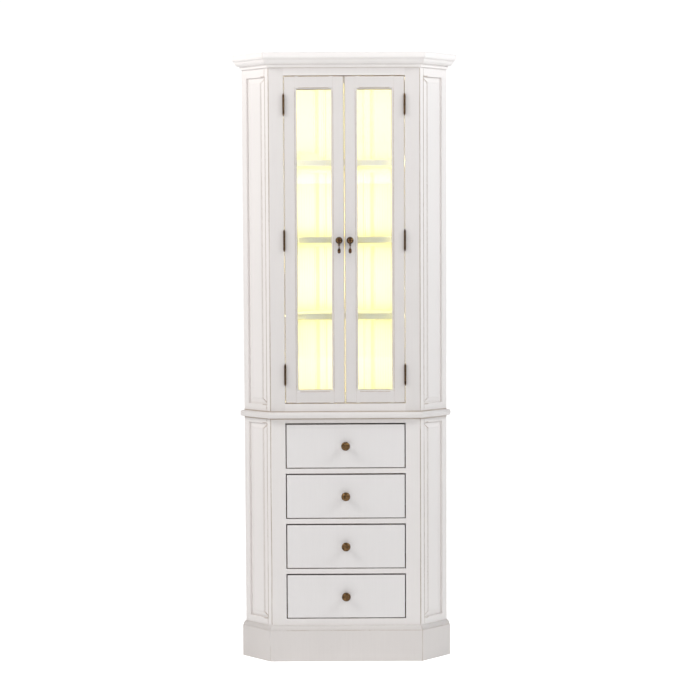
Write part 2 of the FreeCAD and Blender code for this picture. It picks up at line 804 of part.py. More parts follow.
pins = []
button_tall = "2"
for index, middle in enumerate(hinge_middles, start=1):
    # The pin's two button heads stand just outside the barrel.
    foot = f"{middle} - Dims.leaf_long / 2"
    shaft = hinge_cylinder(f"hinge_shaft_{index}", "Dims.hinge_pin_radius", foot, "Dims.leaf_long")
    buttons = []
    for end, low in (("foot", f"{foot} - {button_tall}"), ("head", f"{foot} + Dims.leaf_long")):
        buttons.append(hinge_cylinder(
            f"hinge_button_{end}_{index}", "Dims.barrel_radius - 0.5", low, button_tall))
    pins.append(join(f"hinge_pin_{index}", [shaft] + buttons))
right_pins = group("hinge_pins_right", pins)
keep("hinge_pins", group("hinge_pins", [right_pins, mirrored("hinge_pins_left", right_pins)]))


# ------------------------------------------------- door pulls and their drops
pivot_up = "(Dims.pull_up - Dims.drop_pivot_fall)"
drop_half = "2"
ear = "1.4"


def pull_knob(name):
    # A ball on a turned neck and rose, with two ears and a pin below it.
    ball = body(f"{name}_ball", "front", "Dims.pull_up", "Dims.pull_in")
    front_cut = "10.1"  # the ball is flattened this far either side of its middle
    back_cut = "10.5"
    corners = [
        ("0", "0"),
        ("0", f"-Dims.ball_out - {front_cut} - 0.6"),
        ("3", f"-Dims.ball_out - {front_cut} - 0.6", "3"),
        ("5", f"-Dims.ball_out - {front_cut} + 0.6"),
        (f"sqrt(Dims.ball_radius^2 - {front_cut}^2)", f"-Dims.ball_out - {front_cut}", "Dims.ball_radius"),
        (f"sqrt(Dims.ball_radius^2 - {back_cut}^2)", f"{back_cut} - Dims.ball_out", "-4"),
        ("5.5", "-3"),
        ("8", "-3", "2"),
        ("9", "-1.4"),
        ("9", "0"),
    ]
    turn(ball, "XY_Plane", "V_Axis", corners)
    solids = [ball]
    for side, x in (("near", f"Dims.pull_in - {drop_half} - {ear} - 0.2"),
                    ("far", f"Dims.pull_in + {drop_half} + 0.2")):
        solids.append(box(f"{name}_ear_{side}", "front", x, "-Dims.ball_out - 2.2", f"{pivot_up} - 2.2",
                          ear, "4.4", "Dims.drop_pivot_fall - 6"))
    pin = doc.addObject("Part::Cylinder", f"{name}_pin")
    pin.setExpression("Radius", "Dims.drop_pin_radius")
    pin.setExpression("Height", f"2 * ({drop_half} + {ear} + 0.2)")
    solids.append(sideways(pin, f"Dims.pull_in - {drop_half} - {ear} - 0.2"))
    return join(name, solids)


def sideways(piece, x):
    # Lays a cylinder along X on the drop's pivot.
    piece.Placement = FreeCAD.Placement(FreeCAD.Vector(), FreeCAD.Rotation(FreeCAD.Vector(0, 1, 0), 90))
    piece.setExpression("Placement.Base.x", x)
    piece.setExpression("Placement.Base.y", f"{front_line} - Dims.ball_out")
    piece.setExpression("Placement.Base.z", pivot_up)
    return piece


def pull_drop(name):
    # A turned teardrop on a tapering stem, hung from an eye round the pin.
    drop = body(f"{name}_teardrop", "front", pivot_up, "Dims.pull_in", "-Dims.ball_out")
    corners = [
        ("0", "-28"),
        ("1.6", "-27.2", "6"),
        ("4.8", "-19.4", "7"),
        ("2", "-11", "-30"),
        ("1.9", "0"),
        ("0", "0"),
    ]
    turn(drop, "XZ_Plane", "V_Axis", corners)
    solids = []
    for part, radius in (("eye", "2.9"), ("bore", "Dims.drop_pin_radius + 0.08")):
        piece = doc.addObject("Part::Cylinder", f"{name}_{part}")
        piece.setExpression("Radius", radius)
        piece.setExpression("Height", f"2 * {drop_half}")
        solids.append(sideways(piece, f"Dims.pull_in - {drop_half}"))
    return remove(name, join(f"{name}_blank", [drop, solids[0]]), solids[1])


keep_pair("door_SIDE_pull_knob", pull_knob)
keep_pair("pull_drop_SIDE", pull_drop)

# ------------------------------------------------------------------- catches
strike_thick = "1.5"


def strike_plate(name):
    return box(name, "front", "5", "Dims.door_thick", f"{door_high} - 18", "18", strike_thick, "15")


keep_pair("door_SIDE_strike", strike_plate)
catch_face = f"Dims.door_thick + {strike_thick} + 0.3"
catch_half = "24"
catch_deep = "16"
catch_reach = "20"  # how far the magnets hang behind the doors
magnets = box("catch_magnets", "front", f"-{catch_half}", catch_face, f"{door_high} - {catch_reach}",
              f"2 * {catch_half}", f"Dims.frame_thick + {catch_deep} - ({catch_face})",
              f"{catch_reach} + Dims.door_gap_tall")
flange = box("catch_flange", "front", f"-{catch_half}", "Dims.frame_thick", "Dims.door_head",
             f"2 * {catch_half}", catch_deep, "16")
keep("door_catch", join("door_catch", [magnets, flange]))


def bullet_catch():
    # A barrel let into the right door's meeting edge, its domed tip in the gap.
    middle_of_edge = "Dims.meeting_half + Dims.meeting_bevel / 2"
    piece = body("meeting_catch", "front", bullet_up, middle_of_edge, "Dims.door_thick / 2")
    corners = [
        ("-1.8", "0", "2.4"),
        ("0", "-2.2"),
        ("0", f"-{bullet_radius}"),
        (bullet_long, f"-{bullet_radius}"),
        (bullet_long, "0"),
    ]
    turn(piece, "XY_Plane", "H_Axis", corners)
    return piece


keep("door_right_meeting_catch", bullet_catch())

# ------------------------------------------------------------------ lighting
light_low = "870"
light_high = "1920"
channel_x = "205"
channel_wide = "17"
channel_deep = "8"
wall_of_channel = "1.5"


def light_channel(name):
    outside = box(f"{name}_outside", "front", channel_x, "Dims.frame_thick", light_low,
                  channel_wide, channel_deep, f"{light_high} - {light_low}")
    hollow = box(f"{name}_hollow", "front", f"{channel_x} + {wall_of_channel}",
                 f"Dims.frame_thick + {wall_of_channel}", light_low,
                 f"{channel_wide} - 2 * {wall_of_channel}", channel_deep, f"{light_high} - {light_low}")
    return remove(name, outside, hollow)


def light_diffuser(name):
    return box(name, "front", f"{channel_x} + {wall_of_channel}",
               f"Dims.frame_thick + {channel_deep} - 2", light_low,
               f"{channel_wide} - 2 * {wall_of_channel}", "2.5", f"{light_high} - {light_low}")


for label, make in (("light_channels", light_channel), ("light_diffusers", light_diffuser)):
    right = make(f"{label}_right")
    keep(label, group(label, [right, mirrored(f"{label}_left", right)]))

driver_case = box("driver_case", "left wall", driver_start, "Dims.wall_thick", driver_up,
                  driver_long, "22", driver_tall)
driver_inlet = inlet_cylinder("driver_inlet", "Dims.wall_thick + 1")
keep("light_driver", join("light_driver", [driver_case, driver_inlet]))


# ------------------------------------------------------------------- drawers
def drawer_front(name, index):
    piece = body(name, "front", f"{drawer_floor(index)} + Dims.drawer_gap_low")
    half = "(Dims.opening_half - Dims.drawer_gap)"
    tall = "Dims.drawer_tall - Dims.drawer_gap_low - Dims.drawer_gap_high"
    back = "Dims.drawer_front_thick"
    corners = [(f"-{half}", "0"), (half, "0"), (half, back), (f"-{half}", back)]
    feature = pad(piece, "XY_Plane", corners, tall)
    arris_radius = "1.8"
    ease(piece, feature, arris_radius, lambda b: b.YMax < 0.01)
    hole = doc.addObject("Part::Cylinder", f"{name}_hole")
    hole.setExpression("Radius", "Dims.stud_radius + 0.05")
    hole.setExpression("Height", "Dims.drawer_front_thick")
    forwards(hole, index, "Dims.drawer_front_thick")
    return remove(f"{name}_drilled", piece, hole)


def forwards(piece, index, y):
    # Lays a cylinder along -Y on the knob's axis.
    piece.Placement = FreeCAD.Placement(FreeCAD.Vector(), FreeCAD.Rotation(FreeCAD.Vector(1, 0, 0), 90))
    piece.setExpression("Placement.Base.y", f"{front_line} + {y}")
    piece.setExpression("Placement.Base.z", knob_up(index))
    return piece


def knob_up(index):
    return f"{drawer_floor(index)} + Dims.drawer_tall / 2"


def drawer_box(name, index):
    # Two sides, a bottom panel in their grooves, and a back standing on it.
    floor_gap = "1"
    low = f"({drawer_floor(index)} + {floor_gap})"
    tall = "125"
    panel_up = f"{low} + 9"
    panel_half = "(Dims.drawer_half - Dims.drawer_side + 5)"
    inner_half = "(Dims.drawer_half - Dims.drawer_side)"
    start = "Dims.drawer_front_thick"
    long = "Dims.drawer_deep - Dims.drawer_front_thick"
    panel = box(f"{name}_panel", "front", f"-{panel_half}", start, panel_up,
                f"2 * {panel_half}", long, "Dims.drawer_panel")
    sides = []
    for part, x in (("left", "-Dims.drawer_half"), ("right", inner_half)):
        side = box(f"{name}_{part}", "front", x, start, low, "Dims.drawer_side", long, tall)
        sides.append(remove(f"{name}_{part}_grooved", side, panel))
    back_foot = f"{panel_up} + Dims.drawer_panel"
    back = box(f"{name}_back", "front", f"-{inner_half}", "Dims.drawer_deep - Dims.drawer_side",
               back_foot, f"2 * {inner_half}", "Dims.drawer_side", f"{low} + {tall} - ({back_foot})")
    return group(name, sides + [panel, back])


def drawer_knob(name, index):
    # A mushroom head on a neck and flange, with a stud into the front.
    piece = body(name, "front", knob_up(index))
    stud_long = "14"
    corners = [
        ("0", stud_long),
        ("0", "-Dims.knob_out"),
        ("3.5", "-Dims.knob_out", "Dims.knob_radius + 1"),
        ("Dims.knob_radius", "-Dims.knob_out + 7.5", "1.8"),
        ("Dims.knob_radius - 1.2", "-Dims.knob_out + 10"),
        ("6", "-9.5", "-9"),
        ("9", "-2"),
        ("9", "0"),
        ("Dims.stud_radius", "0"),
        ("Dims.stud_radius", stud_long),
    ]
    turn(piece, "XY_Plane", "V_Axis", corners)
    return piece


for index in range(1, drawer_count + 1):
    keep(f"drawer_{index}_front", drawer_front(f"drawer_front_{index}", index))
    keep(f"drawer_{index}_box", drawer_box(f"drawer_box_{index}", index))
    keep(f"drawer_{index}_knob", drawer_knob(f"drawer_knob_{index}", index))

# -------------------------------------------------------- check and export
doc.recompute()
faults = []
for piece in doc.Objects:
    if "Invalid" in piece.State or "Error" in piece.State:
        faults.append(f"{piece.Label}: {piece.State}")
for piece in nodes:
    if piece.Shape.isNull() or not piece.Shape.isValid() or not piece.Shape.Solids:
        faults.append(f"{piece.Label}: no valid solid")
if faults:
    raise SystemExit("\n".join(faults))

os.makedirs("parts", exist_ok=True)
for piece in nodes:
    piece.Shape.exportStep(f"parts/{piece.Label}.step")
whole = Part.makeCompound([piece.Shape for piece in nodes]).BoundBox
print(len(nodes), "nodes,", round(whole.XLength, 1), "x", round(whole.YLength, 1), "x",
      round(whole.ZLength, 1), "mm, X", round(whole.XMin, 1), "Y", round(whole.YMin, 1),
      "Z", round(whole.ZMin, 1))
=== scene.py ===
import bpy, bmesh, json, math
from mathutils import Matrix, Vector


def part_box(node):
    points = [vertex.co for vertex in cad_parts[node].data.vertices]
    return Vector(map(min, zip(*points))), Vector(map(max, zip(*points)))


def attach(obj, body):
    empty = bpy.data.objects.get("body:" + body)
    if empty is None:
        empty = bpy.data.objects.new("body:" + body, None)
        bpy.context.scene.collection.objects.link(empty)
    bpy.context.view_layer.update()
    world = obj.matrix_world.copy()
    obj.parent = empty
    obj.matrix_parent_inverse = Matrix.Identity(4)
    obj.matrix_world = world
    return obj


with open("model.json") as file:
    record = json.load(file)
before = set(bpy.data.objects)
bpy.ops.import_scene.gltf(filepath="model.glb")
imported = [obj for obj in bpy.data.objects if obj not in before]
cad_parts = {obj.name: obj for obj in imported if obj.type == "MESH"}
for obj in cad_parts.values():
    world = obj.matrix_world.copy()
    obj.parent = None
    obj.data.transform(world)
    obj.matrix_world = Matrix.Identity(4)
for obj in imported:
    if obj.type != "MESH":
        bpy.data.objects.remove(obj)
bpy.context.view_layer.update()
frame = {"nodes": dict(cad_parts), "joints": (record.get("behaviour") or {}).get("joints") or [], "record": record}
scene = bpy.context.scene
cadNodes = frame["nodes"]
sides = ("left", "right")
drawers = range(1, 5)
jointAt = {joint["name"]: Vector(joint["pos_m"]) for joint in frame["joints"] if "pos_m" in joint}
print("frame loaded:", len(cadNodes), "CAD nodes")


# small helpers for node trees
def setInput(tree, socket, value):
    # Another node's socket is linked; anything else becomes the socket's own value.
    if isinstance(value, bpy.types.NodeSocket):
        tree.links.new(value, socket)
    else:
        socket.default_value = value


def addNode(tree, kind, inputs=(), **settings):
    node = tree.nodes.new(kind)
    for name, value in settings.items():
        setattr(node, name, value)
    for name, value in dict(inputs).items():
        setInput(tree, node.inputs[name], value)
    return node


def maths(tree, operation, *values, clamp=False):
    inputs = dict(enumerate(values))
    return addNode(tree, "ShaderNodeMath", inputs, operation=operation, use_clamp=clamp).outputs[0]


def remap(tree, value, low, high, toLow=0.0, toHigh=1.0):
    inputs = {"Value": value, "From Min": low, "From Max": high, "To Min": toLow, "To Max": toHigh}
    return addNode(tree, "ShaderNodeMapRange", inputs).outputs["Result"]


def blendColours(tree, factor, first, second):
    # Inputs 6 and 7 and output 2 of a Mix node are its colour sockets.
    inputs = {"Factor": factor}
    for index, value in ((6, first), (7, second)):
        inputs[index] = value if isinstance(value, bpy.types.NodeSocket) else (*value, 1.0)
    return addNode(tree, "ShaderNodeMix", inputs, data_type="RGBA").outputs[2]


def objectPlace(tree):
    return addNode(tree, "ShaderNodeTexCoord").outputs["Object"]


def apart(tree, vector):
    return addNode(tree, "ShaderNodeSeparateXYZ", {0: vector}).outputs


def facing(tree, axis):
    # 1 on faces that look along the axis and -1 on those that look against it.
    return apart(tree, addNode(tree, "ShaderNodeNewGeometry").outputs["Normal"])[axis]


def lengthened(tree, place, amount):
    # Squeezes Z by amount, so that a pattern read there runs long up and down.
    along = addNode(tree, "ShaderNodeCombineXYZ", {"X": 1.0, "Y": 1.0, "Z": amount}).outputs[0]
    return addNode(tree, "ShaderNodeVectorMath", {0: place, 1: along}, operation="MULTIPLY").outputs[0]


def noiseAt(tree, place, scale, detail, roughness=0.5):
    inputs = {"Vector": place, "Scale": scale, "Detail": detail, "Roughness": roughness}
    return addNode(tree, "ShaderNodeTexNoise", inputs).outputs[0]


def brokenUp(tree, noise, coverage, feather):
    # Patches over about the given share of a surface, with soft borders.
    threshold = maths(tree, "SUBTRACT", 1.0, coverage)
    low = maths(tree, "SUBTRACT", threshold, feather[0])
    high = maths(tree, "ADD", threshold, feather[1])
    return remap(tree, noise, low, high)


def addBump(tree, sockets, height, strength, depth):
    bump = addNode(tree, "ShaderNodeBump", {"Height": height, "Strength": strength, "Distance": depth})
    tree.links.new(bump.outputs[0], sockets["Normal"])


def newGroup(name, inputs, outputs):
    # inputs is a dictionary of float sockets and their values.
    tree = bpy.data.node_groups.new(name, "ShaderNodeTree")
    for socketName, value in inputs.items():
        socket = tree.interface.new_socket(socketName, in_out="INPUT", socket_type="NodeSocketFloat")
        socket.default_value = value
    for socketName in outputs:
        tree.interface.new_socket(socketName, in_out="OUTPUT", socket_type="NodeSocketFloat")
    return tree, tree.nodes.new("NodeGroupInput").outputs, tree.nodes.new("NodeGroupOutput").inputs


def useGroup(tree, group, **inputs):
    node = tree.nodes.new("ShaderNodeGroup")
    node.node_tree = group
    for name, value in inputs.items():
        setInput(tree, node.inputs[name[0].upper() + name[1:]], value)
    return node.outputs


def newMaterial(name, **sockets):
    material = bpy.data.materials.new(name)
    material.use_nodes = True
    shader = material.node_tree.nodes["Principled BSDF"]
    for socketName, value in sockets.items():
        shader.inputs[socketName.replace("_", " ")].default_value = value
    return material, material.node_tree, shader.inputs


# shader groups shared by the finishes; outward, hollow and gap are shares of
# open space over a face, from where a mask is 0 to where it is 1
wearShape = {"outward": (0.72, 0.90), "detail": 4.0, "roughness": 0.65, "feather": (0.10, 0.12),
             "samples": 4}
# hollow sets where glaze and painted shade fill the creases, gap where the painted gap colour fills the deep gaps
glazeAndShadeShape = {"hollow": (0.86, 0.52), "gap": (0.48, 0.26), "detail": 5.0, "roughness": 0.7,
              "feather": (0.14, 0.10), "samples": 6}
coatShape = {"markDetail": 3.0, "markRoughness": 0.6, "cloudDetail": 4.0, "cloudRoughness": 0.55,
             "markShare": 0.4}


def makeEdgeWear():
    # Where an outward arris is close, broken up along its length.
    inputs = {"Radius": 0.002, "Amount": 1.0, "Coverage": 0.5, "Breakup": 14.0, "Stretch": 0.25,
              "Start": 0.985, "Full": 0.90}
    tree, given, result = newGroup("edgeWear", inputs, ["Mask"])
    rounded = addNode(tree, "ShaderNodeBevel", {"Radius": given["Radius"]}, samples=wearShape["samples"])
    flat = addNode(tree, "ShaderNodeNewGeometry")
    turned = addNode(tree, "ShaderNodeVectorMath", {0: rounded.outputs[0], 1: flat.outputs["Normal"]},
                     operation="DOT_PRODUCT")
    edge = remap(tree, turned.outputs["Value"], given["Start"], given["Full"])
    shade = addNode(tree, "ShaderNodeAmbientOcclusion", {"Distance": given["Radius"]},
                    samples=wearShape["samples"])
    edge = maths(tree, "MULTIPLY", edge, remap(tree, shade.outputs["AO"], *wearShape["outward"]))
    place = lengthened(tree, objectPlace(tree), given["Stretch"])
    noise = noiseAt(tree, place, given["Breakup"], wearShape["detail"], wearShape["roughness"])
    worn = maths(tree, "MULTIPLY", edge, brokenUp(tree, noise, given["Coverage"], wearShape["feather"]))
    tree.links.new(maths(tree, "MULTIPLY", worn, given["Amount"], clamp=True), result["Mask"])
    return tree


def makeCreaseGlazeAndShade():
    # Glaze and painted shade in the creases where pieces meet, and the painted gap colour in the deep gaps.
    inputs = {"Reach": 0.005, "Amount": 1.0, "Coverage": 0.6, "Breakup": 9.0}
    tree, given, result = newGroup("creaseGlazeAndShade", inputs, ["Mask", "GapShadeAndGlow"])
    shade = addNode(tree, "ShaderNodeAmbientOcclusion", {"Distance": given["Reach"]},
                    samples=glazeAndShadeShape["samples"])
    crease = remap(tree, shade.outputs["AO"], *glazeAndShadeShape["hollow"])
    noise = noiseAt(tree, objectPlace(tree), given["Breakup"], glazeAndShadeShape["detail"], glazeAndShadeShape["roughness"])
    left = maths(tree, "MULTIPLY", crease, brokenUp(tree, noise, given["Coverage"], glazeAndShadeShape["feather"]))
    tree.links.new(maths(tree, "MULTIPLY", left, given["Amount"], clamp=True), result["Mask"])
    tree.links.new(remap(tree, shade.outputs["AO"], *glazeAndShadeShape["gap"]), result["GapShadeAndGlow"])
    return tree


def makeBrushedCoat():
    # Long brush marks and faint clouds in a coat of paint or a sawn board.
    inputs = {"Fineness": 260.0, "Length": 0.03, "Clouds": 4.0}
    tree, given, result = newGroup("brushedCoat", inputs, ["Height", "Tone"])
    place = objectPlace(tree)
    marks = noiseAt(tree, lengthened(tree, place, given["Length"]), given["Fineness"],
                    coatShape["markDetail"], coatShape["markRoughness"])
    clouds = noiseAt(tree, place, given["Clouds"], coatShape["cloudDetail"], coatShape["cloudRoughness"])
    tree.links.new(marks, result["Height"])
    mixed = maths(tree, "ADD", maths(tree, "MULTIPLY", marks, coatShape["markShare"]),
                  maths(tree, "MULTIPLY", clouds, 1 - coatShape["markShare"]))
    tree.links.new(mixed, result["Tone"])
    return tree


edgeWear = makeEdgeWear()
creaseGlazeAndShade = makeCreaseGlazeAndShade()
brushedCoat = makeBrushedCoat()
print("shader groups built")

# paint
paintLook = {
    "colour": (0.83, 0.80, 0.785), "shade": (0.80, 0.77, 0.755), "roughness": 0.42,
    # The crease colour is glaze and painted shade; the gap colour is painted shade, near black, in the deep gaps.
    "ground": (0.36, 0.24, 0.15), "glazeAndShade": (0.45, 0.33, 0.22), "gap": (0.03, 0.02, 0.015),
    "brushFineness": 260.0, "brushLength": 0.03, "brushTone": (0.35, 0.65),
    "bump": 0.25, "bumpDepth": 0.0006,
    "edgeRadius": 0.0022, "edgeAmount": 0.8, "edgeCoverage": 0.52, "edgeBreakup": 16.0, "edgeStretch": 0.25,
    "edgeStart": 0.985, "edgeFull": 0.90,
    "creaseReach": 0.006, "creaseAmount": 0.35, "creaseCoverage": 0.55,
    # level lines of glaze and painted shade
    "lines": [], "lineGlazeAndShade": (0.42, 0.33, 0.25),  # level lines, as glazeAndShadeLine takes them
    "seams": [],  # joints painted over: (x, low, high), filled above high and below low
    "seamReach": (0.008, 0.005),  # no effect outside the first, full effect inside the second
    "wornTo": None,  # worn only up to this far from the centre line
    "wornFade": 0.006, "wornBeyond": 0.06,  # how soon the wear stops, and what is left of it
    # painted shade on downward faces
    "undersideShade": None,  # the colour of downward faces
    "joints": [],  # joints between the boards of a wall, as boardJoints takes them
    "outer": None,  # the look of the faces towards the room's walls, on a back board
}
lineBreaks = {"scale": 7.0, "detail": 3.0, "from": (0.35, 0.6), "least": 0.6}  # where a level line thins out
lineBlur = {"joint": 0.15, "glazeAndShade": 0.4}  # shares of a line's half width
maskSpans = {"undersideShade": (-0.5, -0.9), "outer": (0.0, 0.1), "bead": (0.3, 1.0)}  # no effect, full effect


def softEdged(tree, distance, half, blur, strength=1.0):
    # strength inside a line of the given half width, fading out at its border.
    return remap(tree, distance, half * (1 + blur), half * (1 - blur), 0.0, strength)


def boardJoints(tree, colour, joints, glazeAndShade):
    # Upright lines at both sides of the centre, each (x, half width, strength): glaze and painted shade in the
    # grooves inside, dark joints on the back.
    offset = maths(tree, "ABSOLUTE", apart(tree, objectPlace(tree))["X"])
    for at, halfWidth, strength in joints:
        distance = maths(tree, "ABSOLUTE", maths(tree, "SUBTRACT", offset, at))
        line = softEdged(tree, distance, halfWidth, lineBlur["joint"], strength)
        colour = blendColours(tree, line, colour, glazeAndShade)
    return colour


def beadLines(tree, colour, look):
    # The fine beads cut along the boards inside, as faint lines of painted shade.
    offset = maths(tree, "ABSOLUTE", apart(tree, objectPlace(tree))["X"])
    wave = maths(tree, "SINE", maths(tree, "MULTIPLY", offset, 2 * math.pi / look["beadPitch"]))
    lines = remap(tree, wave, *maskSpans["bead"], 0.0, look["beadShade"])
    return blendColours(tree, lines, colour, look["glazeAndShade"])


def outerFaces(tree, tone, colour, outer):
    # Another look, with its own joints, on the faces that look backwards.
    rear = blendColours(tree, tone, outer["shade"], outer["colour"])
    rear = boardJoints(tree, rear, outer["joints"], outer["gap"])
    return blendColours(tree, remap(tree, facing(tree, "Y"), *maskSpans["outer"]), colour, rear)


def glazeAndShadeLine(tree, colour, line, glazeAndShade):
    # A darker level line, stronger in some places: glaze at a joint, and painted shade under a moulding and in
    # gaps;
    # line is (height, half height, strength, nearest x, farthest x).
    at, halfHeight, strength, nearest, farthest = line
    place = objectPlace(tree)
    parts = apart(tree, place)
    distance = maths(tree, "ABSOLUTE", maths(tree, "SUBTRACT", parts["Z"], at))
    sideways = maths(tree, "SUBTRACT", maths(tree, "ABSOLUTE", parts["X"]), (nearest + farthest) / 2)
    within = maths(tree, "LESS_THAN", maths(tree, "ABSOLUTE", sideways), (farthest - nearest) / 2)
    noise = noiseAt(tree, place, lineBreaks["scale"], lineBreaks["detail"])
    uneven = remap(tree, noise, *lineBreaks["from"], strength * lineBreaks["least"], strength)
    mask = maths(tree, "MULTIPLY", softEdged(tree, distance, halfHeight, lineBlur["glazeAndShade"]), uneven)
    return blendColours(tree, maths(tree, "MULTIPLY", mask, within), colour, glazeAndShade)


def rubbedEdges(tree, look):
    # Where the paint is rubbed through, less the seams and what lies past wornTo.
    place = apart(tree, objectPlace(tree))
    across = maths(tree, "ABSOLUTE", place["X"])
    worn = useGroup(tree, edgeWear, radius=look["edgeRadius"], amount=look["edgeAmount"],
                    coverage=look["edgeCoverage"], breakup=look["edgeBreakup"],
                    stretch=look["edgeStretch"], start=look["edgeStart"], full=look["edgeFull"])["Mask"]
    for at, low, high in look["seams"]:
        distance = maths(tree, "ABSOLUTE", maths(tree, "SUBTRACT", across, at))
        near = remap(tree, distance, *look["seamReach"])
        beyond = maths(tree, "ABSOLUTE", maths(tree, "SUBTRACT", place["Z"], (low + high) / 2))
        closed = maths(tree, "GREATER_THAN", beyond, (high - low) / 2)
        filled = maths(tree, "MULTIPLY", near, closed)
        worn = maths(tree, "MULTIPLY", worn, maths(tree, "SUBTRACT", 1.0, filled))
    if look["wornTo"]:
        end = look["wornTo"] + look["wornFade"]
        inside = remap(tree, across, look["wornTo"], end, 1.0, look["wornBeyond"])
        worn = maths(tree, "MULTIPLY", worn, inside)
    return worn


def makePaint(name, look):
    material, tree, sockets = newMaterial(name, Roughness=look["roughness"])
    coat = useGroup(tree, brushedCoat, fineness=look["brushFineness"], length=look["brushLength"])
    tone = remap(tree, coat["Tone"], *look["brushTone"])
    colour = blendColours(tree, tone, look["shade"], look["colour"])
    creases = useGroup(tree, creaseGlazeAndShade, reach=look["creaseReach"], amount=look["creaseAmount"],
                       coverage=look["creaseCoverage"])
    # Glaze and painted shade in the creases.
    colour = blendColours(tree, creases["Mask"], colour, look["glazeAndShade"])
    # The deep gaps get the paint's gap colour: painted shade, and a painted glow for the doors and stiles.
    colour = blendColours(tree, creases["GapShadeAndGlow"], colour, look["gap"])
    if look["joints"]:
        colour = beadLines(tree, boardJoints(tree, colour, look["joints"], look["glazeAndShade"]), look)
    if look["outer"]:
        colour = outerFaces(tree, tone, colour, look["outer"])
    for line in look["lines"]:
        colour = glazeAndShadeLine(tree, colour, line, look["lineGlazeAndShade"])
    # Painted shade on the downward faces.
    if look["undersideShade"]:
        downwards = remap(tree, facing(tree, "Z"), *maskSpans["undersideShade"])
        colour = blendColours(tree, downwards, colour, look["undersideShade"])
    colour = blendColours(tree, rubbedEdges(tree, look), colour, look["ground"])
    tree.links.new(colour, sockets["Base Color"])
    addBump(tree, sockets, coat["Height"], look["bump"], look["bumpDepth"])
    return material


whitePaint = makePaint("whitePaint", paintLook)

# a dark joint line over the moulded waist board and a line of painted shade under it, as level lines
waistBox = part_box("waist_board")
underWaist = (waistBox[0].z - 0.002, 0.0026, 0.80, 0, 1)
overWaist = (waistBox[1].z + 0.001, 0.0022, 0.75, 0, 1)

# where the members of the front and of the doors are joined flush
jointFill = {"doorClear": 0.002, "rebate": 0.007, "railClear": 0.012}
doorBox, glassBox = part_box("door_right_frame"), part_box("door_right_glass")
windowEdges = (glassBox[0].x + jointFill["rebate"], glassBox[1].x - jointFill["rebate"])
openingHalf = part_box("upper_rails")[1].x
headSeam = (openingHalf, doorBox[0].z - jointFill["doorClear"], doorBox[1].z + jointFill["doorClear"])
windowSeams = [(edge, glassBox[0].z + jointFill["railClear"], glassBox[1].z - jointFill["railClear"])
               for edge in windowEdges]
windowHead = (glassBox[1].z - 0.006, 0.0017, 0.8, *windowEdges)  # the line over each window

# Copies of the white paint, each lighter or darker where more or less light falls on that part: painted light and
# shade. The doors' copy is darker: painted shade.
doorLook = {
    # the gap colour is a painted glow of the lit inside, in the gaps round the doors
    **paintLook, "colour": (0.765, 0.735, 0.72), "shade": (0.735, 0.705, 0.69), "gap": (0.80, 0.64, 0.50),
}
doorPaint = makePaint("doorPaint", {
    **doorLook, "edgeRadius": 0.0042, "edgeAmount": 1.0, "edgeCoverage": 0.70, "edgeStart": 0.992,
    "edgeFull": 0.95, "seams": windowSeams, "lines": [windowHead],
})
# A darker copy for the stiles: painted shade.
stileLook = {
    **paintLook, "colour": (0.80, 0.77, 0.755), "shade": (0.77, 0.74, 0.725), "gap": doorLook["gap"],
    "creaseAmount": 0.15, "lines": [overWaist], "seams": [headSeam],
}
stilePaint = makePaint("stilePaint", stileLook)
# A lighter copy for the rails, so that the head under the cornice looks lit: painted light.
railPaint = makePaint("railPaint", {
    **stileLook, "colour": (0.85, 0.82, 0.805), "shade": (0.82, 0.79, 0.775),
})
# a line of painted shadow in the gap over each drawer front
drawerLines = [(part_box(f"drawer_{index}_front")[1].z, 0.0010, 0.6, 0, 1) for index in drawers]
# A lighter copy for the drawer fronts: painted light.
drawerPaint = makePaint("drawerPaint", {
    **paintLook, "colour": (0.84, 0.82, 0.815), "shade": (0.815, 0.795, 0.79), "creaseReach": 0.012,
    "creaseAmount": 0.2, "lines": drawerLines, "lineGlazeAndShade": (0.07, 0.045, 0.035),
})
# A lighter copy for the lower frame: painted light.
lowerFramePaint = makePaint("lowerFramePaint", {
    **paintLook, "colour": (0.855, 0.825, 0.81), "shade": (0.825, 0.795, 0.78), "creaseReach": 0.012,
    "creaseAmount": 0.2, "lines": [underWaist], "seams": [(openingHalf, 0, 0)],
})
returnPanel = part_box("upper_return_panel_right")  # worn over the third that is nearest the front
# A much lighter copy for the returns: painted light.
returnPaint = makePaint("returnPaint", {
    **paintLook, "colour": (0.89, 0.86, 0.845), "shade": (0.87, 0.84, 0.825), "gap": (0.84, 0.80, 0.78),
    "ground": (0.28, 0.18, 0.11), "edgeRadius": 0.0055, "edgeAmount": 1.0, "edgeCoverage": 0.68,
    "edgeStretch": 0.12, "edgeStart": 0.998, "edgeFull": 0.975, "creaseAmount": 0.0,
    "wornTo": (returnPanel[0].x * 2 + returnPanel[1].x) / 3, "lines": [overWaist, underWaist],
})
# The lightest copy, for the cornice: painted light.
cornicePaint = makePaint("cornicePaint", {
    **paintLook, "colour": (0.97, 0.94, 0.925), "shade": (0.95, 0.92, 0.905), "creaseAmount": 0.05,
    "edgeAmount": 0.4,
})
# Strong glaze and painted shade in the creases darken the waist board: painted shade.
waistPaint = makePaint("waistPaint", {
    **paintLook, "creaseAmount": 1.0, "creaseCoverage": 0.9, "creaseReach": 0.008, "edgeAmount": 0.6,
})
# A darker copy for the plinth: painted shade.
plinthPaint = makePaint("plinthPaint", {
    **paintLook, "colour": (0.75, 0.715, 0.695), "shade": (0.72, 0.685, 0.665), "creaseAmount": 0.06,
    "edgeAmount": 1.0,
})

